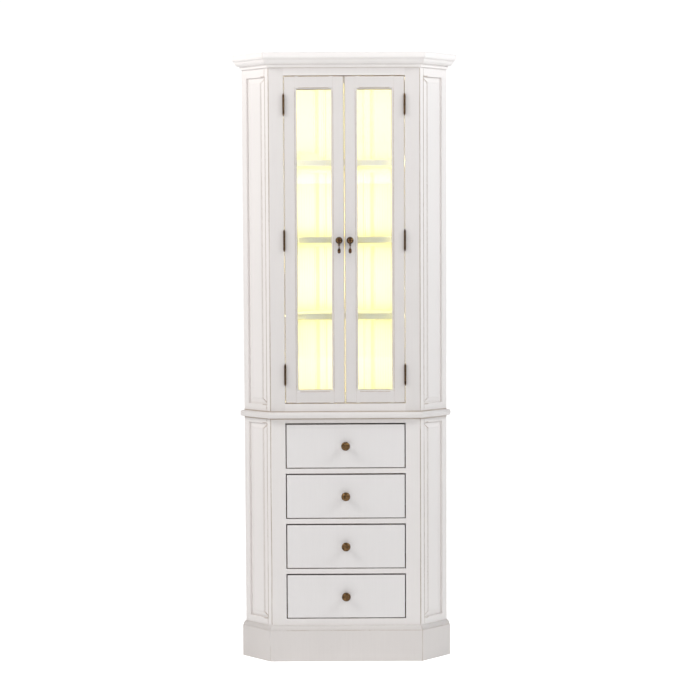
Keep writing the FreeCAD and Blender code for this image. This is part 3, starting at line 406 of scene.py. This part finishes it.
# Grooves between the boards of a back wall: distance along the wall from the
# return, half width, and how much glaze and painted shade is put in them.
wallGrooves = [(0.117, 0.0025, 0.6), (0.212, 0.0025, 0.6), (0.322, 0.0085, 0.85), (0.364, 0.0025, 0.7)]
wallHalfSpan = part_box("upper_wall_boards")[1].x
slant = math.sqrt(0.5)  # the walls stand at 45 degrees to the front
grooves = [(wallHalfSpan - along * slant, halfWidth * slant, strength)
           for along, halfWidth, strength in wallGrooves]

backLook = {**paintLook, "colour": (0.76, 0.73, 0.69), "shade": (0.68, 0.64, 0.58)}
rearJoint = {"halfWidth": 0.0009, "strength": 0.85}
rearJoints = [(at, rearJoint["halfWidth"], rearJoint["strength"]) for at, _, _ in grooves]
rearLook = {**backLook, "joints": rearJoints}
# Inside, the crease and gap colours are a yellow painted shade where the warm light is weaker, reaching 5 cm out
# from the corners.
interiorLook = {
    **paintLook, "colour": (0.88, 0.87, 0.83), "shade": (0.86, 0.85, 0.80), "edgeAmount": 0.0,
    "glazeAndShade": (0.86, 0.82, 0.45), "creaseAmount": 0.6, "creaseReach": 0.05, "creaseCoverage": 1.6,
    "beadPitch": 0.0085, "beadShade": 0.22, "gap": (0.84, 0.76, 0.42),
}
interiorPaint = makePaint("interiorPaint", interiorLook)
# The shelves' undersides get a yellow painted shade.
shelfPaint = makePaint("shelfPaint", {**interiorLook, "undersideShade": (0.87, 0.81, 0.28)})
boardPaint = makePaint("boardPaint", {**interiorLook, "joints": grooves, "outer": rearLook})
backPaint = makePaint("backPaint", {**backLook, "outer": rearLook})
print("paints mixed")


# wood, metal, plastic and glass
def makeBareWood(look):
    material, tree, sockets = newMaterial("bareWood", Roughness=look["roughness"])
    coat = useGroup(tree, brushedCoat, fineness=look["grain"], length=look["length"], clouds=look["clouds"])
    tone = remap(tree, coat["Tone"], *look["tone"])
    tree.links.new(blendColours(tree, tone, look["dark"], look["light"]), sockets["Base Color"])
    addBump(tree, sockets, coat["Height"], look["bump"], look["bumpDepth"])
    return material


bareWood = makeBareWood({
    "dark": (0.34, 0.20, 0.10), "light": (0.56, 0.38, 0.22), "roughness": 0.55, "grain": 150.0,
    "length": 0.05, "clouds": 3.0, "tone": (0.35, 0.68), "bump": 0.3, "bumpDepth": 0.0005,
})
brassLook = {
    "dark": (0.05, 0.029, 0.016), "brown": (0.15, 0.088, 0.042), "rubbed": (0.50, 0.33, 0.16),
    "metallic": 0.92, "patches": 160.0, "patchDetail": 4.0, "patina": (0.40, 0.66),
    "rough": 0.46, "smooth": 0.26, "dullness": (0.35, 0.7),
    "edgeRadius": 0.0012, "edgeAmount": 0.9, "edgeCoverage": 0.62, "edgeBreakup": 60.0,
    "pitting": 900.0, "pitDetail": 2.0, "bump": 0.35, "bumpDepth": 0.0003,
}


def makeAntiqueBrass(name, look):
    material, tree, sockets = newMaterial(name, Metallic=look["metallic"])
    place = objectPlace(tree)
    patches = noiseAt(tree, place, look["patches"], look["patchDetail"])
    colour = blendColours(tree, remap(tree, patches, *look["patina"]), look["dark"], look["brown"])
    edges = useGroup(tree, edgeWear, radius=look["edgeRadius"], amount=look["edgeAmount"],
                     coverage=look["edgeCoverage"], breakup=look["edgeBreakup"], stretch=1.0)
    tree.links.new(blendColours(tree, edges["Mask"], colour, look["rubbed"]), sockets["Base Color"])
    roughness = remap(tree, patches, *look["dullness"], look["rough"], look["smooth"])
    tree.links.new(roughness, sockets["Roughness"])
    pits = noiseAt(tree, place, look["pitting"], look["pitDetail"])
    addBump(tree, sockets, pits, look["bump"], look["bumpDepth"])
    return material


antiqueBrass = makeAntiqueBrass("antiqueBrass", brassLook)
knobBrass = makeAntiqueBrass("knobBrass", {
    **brassLook, "dark": (0.07, 0.038, 0.016), "brown": (0.27, 0.155, 0.065),
})
pullBrass = makeAntiqueBrass("pullBrass", {
    **brassLook, "dark": (0.035, 0.016, 0.008), "brown": (0.13, 0.06, 0.028), "rough": 0.30, "smooth": 0.14,
})
mottle = {"scale": 220.0, "detail": 3.0, "darker": 0.94, "from": (0.3, 0.7), "uneven": 0.05}


def makePlain(name, colour, roughness, **sockets):
    # A moulded or plated surface with a faint mottle.
    material, tree, inputs = newMaterial(name, **sockets)
    noise = noiseAt(tree, objectPlace(tree), mottle["scale"], mottle["detail"])
    darker = tuple(part * mottle["darker"] for part in colour)
    tree.links.new(blendColours(tree, noise, darker, colour), inputs["Base Color"])
    least, most = roughness - mottle["uneven"], roughness + mottle["uneven"]
    tree.links.new(remap(tree, noise, *mottle["from"], least, most), inputs["Roughness"])
    return material


strikeSteel = makePlain("strikeSteel", (0.55, 0.54, 0.52), 0.32, Metallic=1.0)
channelAluminium = makePlain("channelAluminium", (0.78, 0.78, 0.78), 0.36, Metallic=1.0)
catchPlastic = makePlain("catchPlastic", (0.80, 0.79, 0.76), 0.45)
driverPlastic = makePlain("driverPlastic", (0.80, 0.76, 0.62), 0.42)

glow = {"colour": (1.0, 0.96, 0.66, 1.0), "strength": 42.0}
lightDiffuser = makePlain("lightDiffuser", (0.95, 0.93, 0.85), 0.5,
                          Emission_Color=glow["colour"], Emission_Strength=glow["strength"])

doorGlass, _, _ = newMaterial("doorGlass", Base_Color=(0.97, 0.99, 0.98, 1.0), Roughness=0.02,
                              Transmission_Weight=1.0, IOR=1.45)

# one finish for each slot of the record, and the paints of single pieces
finishes = {
    "white_paint": whitePaint, "back_paint": backPaint, "interior_paint": interiorPaint,
    "bare_wood": bareWood, "antique_brass": antiqueBrass, "door_glass": doorGlass,
    "strike_steel": strikeSteel, "catch_plastic": catchPlastic, "channel_aluminium": channelAluminium,
    "light_diffuser": lightDiffuser, "driver_plastic": driverPlastic,
}
for part in frame["record"]["subparts"]:
    mesh = cadNodes[part["node"]].data
    mesh.materials.clear()
    mesh.materials.append(finishes[part["material_slot"]])
ownPaints = {
    "upper_wall_boards": boardPaint, "upper_stiles": stilePaint, "upper_rails": railPaint,
    "lower_stiles": lowerFramePaint, "lower_rails": lowerFramePaint, "waist_board": waistPaint,
    "cornice_front": cornicePaint, "cornice_returns": cornicePaint,
    "plinth_front": plinthPaint, "plinth_returns": plinthPaint,
}
for side in sides:
    ownPaints[f"door_{side}_frame"] = doorPaint
    ownPaints[f"door_{side}_pull_knob"] = pullBrass
    ownPaints[f"pull_drop_{side}"] = pullBrass
    for level in ("lower", "upper"):
        ownPaints[f"{level}_return_frame_{side}"] = returnPaint
        ownPaints[f"{level}_return_panel_{side}"] = returnPaint
for index in drawers:
    ownPaints[f"drawer_{index}_front"] = drawerPaint
    ownPaints[f"drawer_{index}_knob"] = knobBrass
shelves = ("shelf_lower", "shelf_middle", "shelf_upper")
for shelf in shelves:
    ownPaints[shelf] = shelfPaint
for node, paint in ownPaints.items():
    cadNodes[node].data.materials[0] = paint
print("finishes assigned")


# patterns and trees for the small fittings
def fromMesh(name, build):
    # A mesh made by build(bm), doubles merged and normals outwards.
    bm = bmesh.new()
    build(bm)
    bmesh.ops.remove_doubles(bm, verts=bm.verts, dist=1e-6)
    bmesh.ops.recalc_face_normals(bm, faces=bm.faces)
    mesh = bpy.data.meshes.new(name)
    bm.to_mesh(mesh)
    bm.free()
    return mesh


def makeHolder(name, build):
    # A pattern for the trees below; it is in no collection, so it is no piece.
    return bpy.data.objects.new(name, fromMesh(name, build))


def spinProfile(bm, profile, steps):
    # Turns (radius, height) points about Z into a closed skin.
    rings = []
    for radius, height in profile:
        if radius == 0:
            rings.append([bm.verts.new((0, 0, height))])
            continue
        ring = []
        for step in range(steps):
            angle = 2 * math.pi * step / steps
            ring.append(bm.verts.new((radius * math.cos(angle), radius * math.sin(angle), height)))
        rings.append(ring)
    for lower, upper in zip(rings, rings[1:]):
        for step in range(steps):
            after = (step + 1) % steps
            corners = [lower[step % len(lower)], lower[after % len(lower)],
                       upper[after % len(upper)], upper[step % len(upper)]]
            bm.faces.new(list(dict.fromkeys(corners)))


def scatterTree(name, pattern, material):
    # Puts one pattern mesh on every point of the modified mesh, turned so that
    # its Z follows the point's stored direction, then makes it real.
    tree = bpy.data.node_groups.new(name, "GeometryNodeTree")
    tree.interface.new_socket("Geometry", in_out="INPUT", socket_type="NodeSocketGeometry")
    for socketName, kind, value in (("Size", "Float", 1.0), ("Spin", "Float", 0.0), ("Seed", "Int", 3)):
        socket = tree.interface.new_socket(socketName, in_out="INPUT", socket_type="NodeSocket" + kind)
        socket.default_value = value
    tree.interface.new_socket("Geometry", in_out="OUTPUT", socket_type="NodeSocketGeometry")
    given = tree.nodes.new("NodeGroupInput").outputs
    result = tree.nodes.new("NodeGroupOutput").inputs
    shape = addNode(tree, "GeometryNodeObjectInfo", {"Object": pattern}, transform_space="ORIGINAL")
    direction = addNode(tree, "GeometryNodeInputNamedAttribute", {"Name": "facing"},
                        data_type="FLOAT_VECTOR").outputs["Attribute"]
    upright = addNode(tree, "FunctionNodeAlignRotationToVector", {"Vector": direction}, axis="Z")
    least = maths(tree, "MULTIPLY", given["Spin"], -1.0)
    chance = addNode(tree, "FunctionNodeRandomValue",
                     {"Min": least, "Max": given["Spin"], "Seed": given["Seed"]}, data_type="FLOAT")
    spun = addNode(tree, "FunctionNodeAxisAngleToRotation",
                   {"Axis": (0, 0, 1), "Angle": chance.outputs["Value"]})
    turned = addNode(tree, "FunctionNodeRotateRotation",
                     {"Rotation": upright.outputs["Rotation"], "Rotate By": spun.outputs["Rotation"]},
                     rotation_space="LOCAL")
    placed = addNode(tree, "GeometryNodeInstanceOnPoints",
                     {"Points": given["Geometry"], "Instance": shape.outputs["Geometry"],
                      "Rotation": turned.outputs["Rotation"], "Scale": given["Size"]})
    real = addNode(tree, "GeometryNodeRealizeInstances", {"Geometry": placed.outputs["Instances"]})
    finished = addNode(tree, "GeometryNodeSetMaterial",
                       {"Geometry": real.outputs["Geometry"], "Material": material})
    tree.links.new(finished.outputs["Geometry"], result["Geometry"])
    return tree


def scatter(name, tree, points, body, size=1.0, spin=0.0, seed=3):
    # points is a list of (place, direction); the result is a plain mesh.
    mesh = bpy.data.meshes.new(name + "Points")
    mesh.from_pydata([place for place, _ in points], [], [])
    directions = mesh.attributes.new("facing", "FLOAT_VECTOR", "POINT")
    for index, (_, direction) in enumerate(points):
        directions.data[index].vector = direction
    piece = bpy.data.objects.new(name, mesh)
    scene.collection.objects.link(piece)
    modifier = piece.modifiers.new("scatter", "NODES")
    modifier.node_group = tree
    values = {"Size": size, "Spin": spin, "Seed": seed}
    for item in tree.interface.items_tree:
        if item.in_out == "INPUT" and item.name in values:
            modifier[item.identifier] = values[item.name]
    solid = bpy.data.meshes.new_from_object(piece.evaluated_get(bpy.context.evaluated_depsgraph_get()))
    piece.modifiers.clear()
    piece.data = solid
    piece.data.name = name
    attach(piece, body)


# slotted screws in the hinge leaves, the catch and the strikes; profile is
# (share of the radius, share of the dome's height) from the rim inwards
screw = {
    "radius": 0.0027, "dome": 0.00025, "slotHalf": 0.00035, "floor": 0.00004, "sides": 24, "arcSteps": 10,
    "profile": ((1.0, 0.0), (1.0, 0.35), (0.8, 0.85), (0.5, 1.0)), "spin": 3.1,
}
sunk = 0.0001  # screws, pin tips and nails start this far under the face that they sit on


def buildScrew(bm):
    # A disc for the floor of the slot, and a domed half head at each side of it.
    radius, slotHalf, steps = screw["radius"], screw["slotHalf"], screw["arcSteps"]
    disc = [(0, -sunk), (radius, -sunk), (radius, screw["floor"]), (0, screw["floor"])]
    spinProfile(bm, disc, screw["sides"])
    start = math.asin(slotHalf / radius)
    for way in (-1, 1):
        rings = []
        for reach, rise in screw["profile"]:
            ring = []
            for step in range(steps + 1):
                angle = start + (math.pi - 2 * start) * step / steps
                x, y = radius * math.cos(angle), radius * math.sin(angle) - slotHalf
                ring.append(bm.verts.new((x * reach, way * (y * reach + slotHalf), screw["dome"] * rise)))
            rings.append(ring)
        for lower, upper in zip(rings, rings[1:]):
            for step in range(steps + 1):
                after = (step + 1) % (steps + 1)
                bm.faces.new([lower[step], lower[after], upper[after], upper[step]])
        bm.faces.new(rings[0])
        bm.faces.new(rings[-1])


brassScrews = scatterTree("brassScrews", makeHolder("screw", buildScrew), antiqueBrass)
steelScrews = scatterTree("steelScrews", makeHolder("steelScrew", buildScrew), strikeSteel)

hinge = {"gap": 0.0012, "leafLong": 0.062, "screwFromFront": 0.0115, "stagger": 0.0035, "screwRise": 0.022}
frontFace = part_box("upper_stiles")[0].y
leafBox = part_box("door_right_hinge_leaves")
hingeMiddles = [leafBox[0].z + hinge["leafLong"] / 2, jointAt["door_right_hinge"].z,
                leafBox[1].z - hinge["leafLong"] / 2]
frameScrews = []
for way, side in zip((-1, 1), sides):
    pivot = jointAt[f"door_{side}_hinge"]
    doorScrews = []
    for middle in hingeMiddles:
        for row in (-1, 0, 1):
            y = frontFace + hinge["screwFromFront"] + hinge["stagger"] * (1 if row else -1)
            z = middle + row * hinge["screwRise"]
            frameScrews.append(((pivot.x + way * hinge["gap"] / 2, y, z), (-way, 0, 0)))
            doorScrews.append(((pivot.x - way * hinge["gap"] / 2, y, z), (way, 0, 0)))
    scatter(f"door_{side}_hinge_screws", brassScrews, doorScrews, f"door_{side}",
            spin=screw["spin"])
scatter("frame_hinge_screws", brassScrews, frameScrews, "root", spin=screw["spin"], seed=5)

catch = {"screwAcross": 0.017, "screwDown": 0.008}
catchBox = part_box("door_catch")
catchScrews = [((way * catch["screwAcross"], catchBox[1].y, catchBox[1].z - catch["screwDown"]), (0, 1, 0))
               for way in (-1, 1)]
scatter("catch_screws", steelScrews, catchScrews, "root", spin=screw["spin"])
for side in sides:
    low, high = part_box(f"door_{side}_strike")
    middle = (low + high) / 2
    scatter(f"door_{side}_strike_screw", steelScrews, [((middle.x, high.y, middle.z), (0, 1, 0))],
            f"door_{side}", spin=screw["spin"])

# Domed tips on the hinge pins. The other radii are shares of radius, the other
# heights shares of tall, and the ball starts at a share of half a turn.
tip = {
    "radius": 0.0028, "tall": 0.0034, "sides": 20, "steps": 8, "foot": 0.8, "neck": 0.55, "neckTop": 0.12,
    "ball": 0.72, "ballMiddle": 0.56, "ballHalf": 0.44, "ballStart": 0.16,
}


def buildTip(bm):
    radius, tall = tip["radius"], tip["tall"]
    profile = [(0, -sunk), (radius * tip["foot"], -sunk), (radius * tip["neck"], tall * tip["neckTop"])]
    for step in range(1, tip["steps"]):
        angle = math.pi * (tip["ballStart"] + (1 - tip["ballStart"]) * step / tip["steps"])
        height = tip["ballMiddle"] - tip["ballHalf"] * math.cos(angle)
        profile.append((radius * tip["ball"] * math.sin(angle), tall * height))
    spinProfile(bm, profile + [(0, tall)], tip["sides"])


pinTips = scatterTree("pinTips", makeHolder("pinTip", buildTip), antiqueBrass)
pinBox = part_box("hinge_pins")
pinRise = (pinBox[1].z - pinBox[0].z - (hingeMiddles[2] - hingeMiddles[0])) / 2
tips = []
for side in sides:
    pivot = jointAt[f"door_{side}_hinge"]
    for middle in hingeMiddles:
        for way in (-1, 1):
            tips.append(((pivot.x, pivot.y, middle + way * pinRise), (0, 0, way)))
scatter("hinge_pin_tips", pinTips, tips, "root")

# beads on the faces of the knobs and pulls; a ring is (radius, beads, bead size)
bead = {"flat": 0.55, "rings": 6, "sides": 14}
knobFace = {
    "capRadius": 0.0155, "rimOut": 0.0075, "rimRadius": 0.0145, "flatRadius": 0.0035,
    "rings": {"rim": (0.0116, 28, 0.00085), "petals": (0.0072, 14, 0.0014), "heart": (0.0030, 6, 0.0013)},
}
pullBall = {"radius": 0.0117, "centreBack": 0.0107, "ring": (0.0080, 20, 0.0009)}


def buildBead(bm):
    # A bead of radius 1, flattened along Z.
    profile = []
    for step in range(bead["rings"] + 1):
        angle = math.pi * step / bead["rings"]
        profile.append((math.sin(angle) if 0 < step < bead["rings"] else 0, -bead["flat"] * math.cos(angle)))
    spinProfile(bm, profile, bead["sides"])


def knobSurface(radius):
    # How far forward of the knob's front its face lies at a radius, and its lean.
    near = Vector((knobFace["flatRadius"], 0))
    chord = Vector((knobFace["rimRadius"], -knobFace["rimOut"])) - near
    inwards = Vector((chord.y, -chord.x)).normalized()
    centre = near + chord / 2 + inwards * math.sqrt(knobFace["capRadius"] ** 2 - (chord.length / 2) ** 2)
    rise = math.sqrt(knobFace["capRadius"] ** 2 - (radius - centre.x) ** 2)
    return centre.y + rise, (radius - centre.x) / rise


def ballSurface(radius):
    # The same for a pull, on a ball whose centre lies behind the front.
    rise = math.sqrt(pullBall["radius"] ** 2 - radius**2)
    return rise - pullBall["centreBack"], radius / rise


def ringOfBeads(front, radius, count, surface):
    # Points round an axis along -Y, on the surface of a face.
    forward, lean = surface(radius)
    points = []
    for index in range(count):
        angle = 2 * math.pi * (index + 0.5) / count
        spot = front + Vector((radius * math.cos(angle), -forward, radius * math.sin(angle)))
        points.append((spot, Vector((lean * math.cos(angle), -1.0, lean * math.sin(angle)))))
    return points


knobBeads = scatterTree("knobBeads", makeHolder("knobBead", buildBead), knobBrass)
pullBeads = scatterTree("pullBeads", makeHolder("pullBead", buildBead), pullBrass)
for index in drawers:
    low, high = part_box(f"drawer_{index}_knob")
    front = Vector(((low.x + high.x) / 2, low.y, (low.z + high.z) / 2))
    for ring, (radius, count, size) in knobFace["rings"].items():
        scatter(f"drawer_{index}_knob_{ring}", knobBeads, ringOfBeads(front, radius, count, knobSurface),
                f"drawer_{index}", size=size)
for side in sides:
    low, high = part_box(f"door_{side}_pull_knob")
    front = Vector(((low.x + high.x) / 2, low.y, high.z - pullBall["radius"]))
    radius, count, size = pullBall["ring"]
    scatter(f"door_{side}_pull_beads", pullBeads, ringOfBeads(front, radius, count, ballSurface),
            f"door_{side}", size=size)

# nails in the back boards, one row for each board that runs across inside
nails = {
    "heights": (0.03, 0.115, 0.4, 0.79, 0.848, 1.142, 1.395, 1.648, 1.97),
    "wallStart": 0.022, "wallEnd": 0.478, "radius": 0.002, "rise": 0.0004, "sides": 10, "spin": 3.1,
    "shoulder": (0.9, 0.7),  # shares of the radius and the rise
}


def buildNail(bm):
    radius, rise = nails["radius"], nails["rise"]
    shoulder = (radius * nails["shoulder"][0], rise * nails["shoulder"][1])
    spinProfile(bm, [(0, -sunk), (radius, -sunk), shoulder, (0, rise)], nails["sides"])


ironNails = scatterTree("ironNails", makeHolder("nail", buildNail), strikeSteel)
boardEnds = [nails["wallStart"], *(along for along, _, _ in wallGrooves), nails["wallEnd"]]
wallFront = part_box("upper_return_frame_right")[1].y
nailPoints = []
for way in (-1, 1):
    for start, end in zip(boardEnds, boardEnds[1:]):
        along = (start + end) / 2 * slant
        for height in nails["heights"]:
            spot = (way * (wallHalfSpan - along), wallFront + along, height)
            nailPoints.append((spot, (way * slant, slant, 0)))
scatter("back_nails", ironNails, nailPoints, "root", spin=nails["spin"])
print("fittings placed:", len(frameScrews) * 2 + len(nailPoints), "hinge screws and nails")

# floor and backdrop
backdrop = {"size": 30.0, "floorColour": (0.92, 0.92, 0.92, 1.0), "floorRoughness": 0.8,
            "floorFill": 0.27, "floorSeen": 0.9, "worldFill": 0.27, "worldSeen": 1.05}


def seenStraight(tree):
    # 1 where the backdrop is seen, with or without a pane of glass in front.
    path = addNode(tree, "ShaderNodeLightPath").outputs
    bounced = maths(tree, "GREATER_THAN", path["Diffuse Depth"], 0.5)
    through = maths(tree, "MULTIPLY", path["Is Transmission Ray"], maths(tree, "SUBTRACT", 1.0, bounced))
    return maths(tree, "ADD", path["Is Camera Ray"], through, clamp=True)


half = backdrop["size"] / 2
floorMesh = bpy.data.meshes.new("paleFloor")
floorMesh.from_pydata([(-half, -half, 0), (half, -half, 0), (half, half, 0), (-half, half, 0)], [],
                      [(0, 1, 2, 3)])
floor = bpy.data.objects.new("paleFloor", floorMesh)
scene.collection.objects.link(floor)
floorPaint, floorTree, floorSockets = newMaterial(
    "floorPaint", Base_Color=backdrop["floorColour"], Roughness=backdrop["floorRoughness"],
    Emission_Color=(1, 1, 1, 1))
floorGlow = remap(floorTree, seenStraight(floorTree), 0.0, 1.0, backdrop["floorFill"], backdrop["floorSeen"])
floorTree.links.new(floorGlow, floorSockets["Emission Strength"])
floorMesh.materials.append(floorPaint)

world = bpy.data.worlds.new("studio")
scene.world = world
world.use_nodes = True
worldTree = world.node_tree
fill = worldTree.nodes["Background"]
fill.inputs["Color"].default_value = (1.0, 1.0, 1.0, 1.0)
fill.inputs["Strength"].default_value = backdrop["worldFill"]
white = addNode(worldTree, "ShaderNodeBackground",
                {"Color": (1, 1, 1, 1), "Strength": backdrop["worldSeen"]})
either = addNode(worldTree, "ShaderNodeMixShader",
                 {0: seenStraight(worldTree), 1: fill.outputs[0], 2: white.outputs[0]})
worldTree.links.new(either.outputs[0], worldTree.nodes["World Output"].inputs["Surface"])
scene.view_settings.view_transform = "Standard"

# soft boxes high at each side, one warm and one cool, and one over the camera
softboxes = {
    "leftBox": {"at": (-2.6, -1.3, 3.0), "aim": (0, 0, 1.9), "size": 1.4, "watts": 53.0,
                "colour": (1.0, 0.97, 0.95)},
    "rightBox": {"at": (2.6, -1.3, 3.0), "aim": (0, 0, 1.9), "size": 1.4, "watts": 50.0,
                 "colour": (0.95, 0.975, 1.0)},
    "frontBox": {"at": (0, -4.4, 2.5), "aim": (0, 0, 1.8), "size": 1.6, "watts": 29.0,
                 "colour": (1.0, 0.98, 0.97)},
}
# what the two strips throw on the shelves and boards, compartment by compartment
shelfLights = {"y": -0.150, "wide": 0.30, "clear": 0.03, "watts": 0.21, "spread": 84.0,
               "redGreen": (1.0, 0.97), "blue": (0.96, 0.95, 0.92, 0.42)}


def hangLamp(name, at, turn, **settings):
    lamp = bpy.data.lights.new(name, "AREA")
    for setting, value in settings.items():
        setattr(lamp, setting, value)
    holder = bpy.data.objects.new(name, lamp)
    holder.location = at
    holder.rotation_euler = turn
    scene.collection.objects.link(holder)


for name, box in softboxes.items():
    turn = (Vector(box["aim"]) - Vector(box["at"])).to_track_quat("-Z", "Y").to_euler()
    hangLamp(name, box["at"], turn, size=box["size"], energy=box["watts"], color=box["colour"])

levels = [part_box("display_floor")[1].z]
for shelf in shelves:
    low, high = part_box(shelf)
    levels += [low.z, high.z]
levels.append(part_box("upper_rails")[1].z)
for number, (bottom, top) in enumerate(zip(levels[0::2], levels[1::2])):
    hangLamp(f"shelfLight{number}", (0, shelfLights["y"], (bottom + top) / 2), (math.radians(90), 0, 0),
             shape="RECTANGLE", size=shelfLights["wide"], size_y=top - bottom - 2 * shelfLights["clear"],
             energy=shelfLights["watts"], color=(*shelfLights["redGreen"], shelfLights["blue"][number]),
             spread=math.radians(shelfLights["spread"]))

view = {"lens": 90.98, "sensor": 36.0, "far": 100.0, "at": (0.016, -5.996, 1.404),
        "tiltDown": 3.655, "roll": -0.27}
camera = bpy.data.objects.new("camera", bpy.data.cameras.new("camera"))
camera.data.lens = view["lens"]
camera.data.sensor_width = view["sensor"]
camera.data.clip_end = view["far"]
tilt = Matrix.Rotation(math.radians(90 - view["tiltDown"]), 4, "X")
roll = Matrix.Rotation(math.radians(view["roll"]), 4, "Z")
camera.matrix_world = Matrix.Translation(view["at"]) @ tilt @ roll
scene.collection.objects.link(camera)
scene.camera = camera
print("stage, light and camera set")
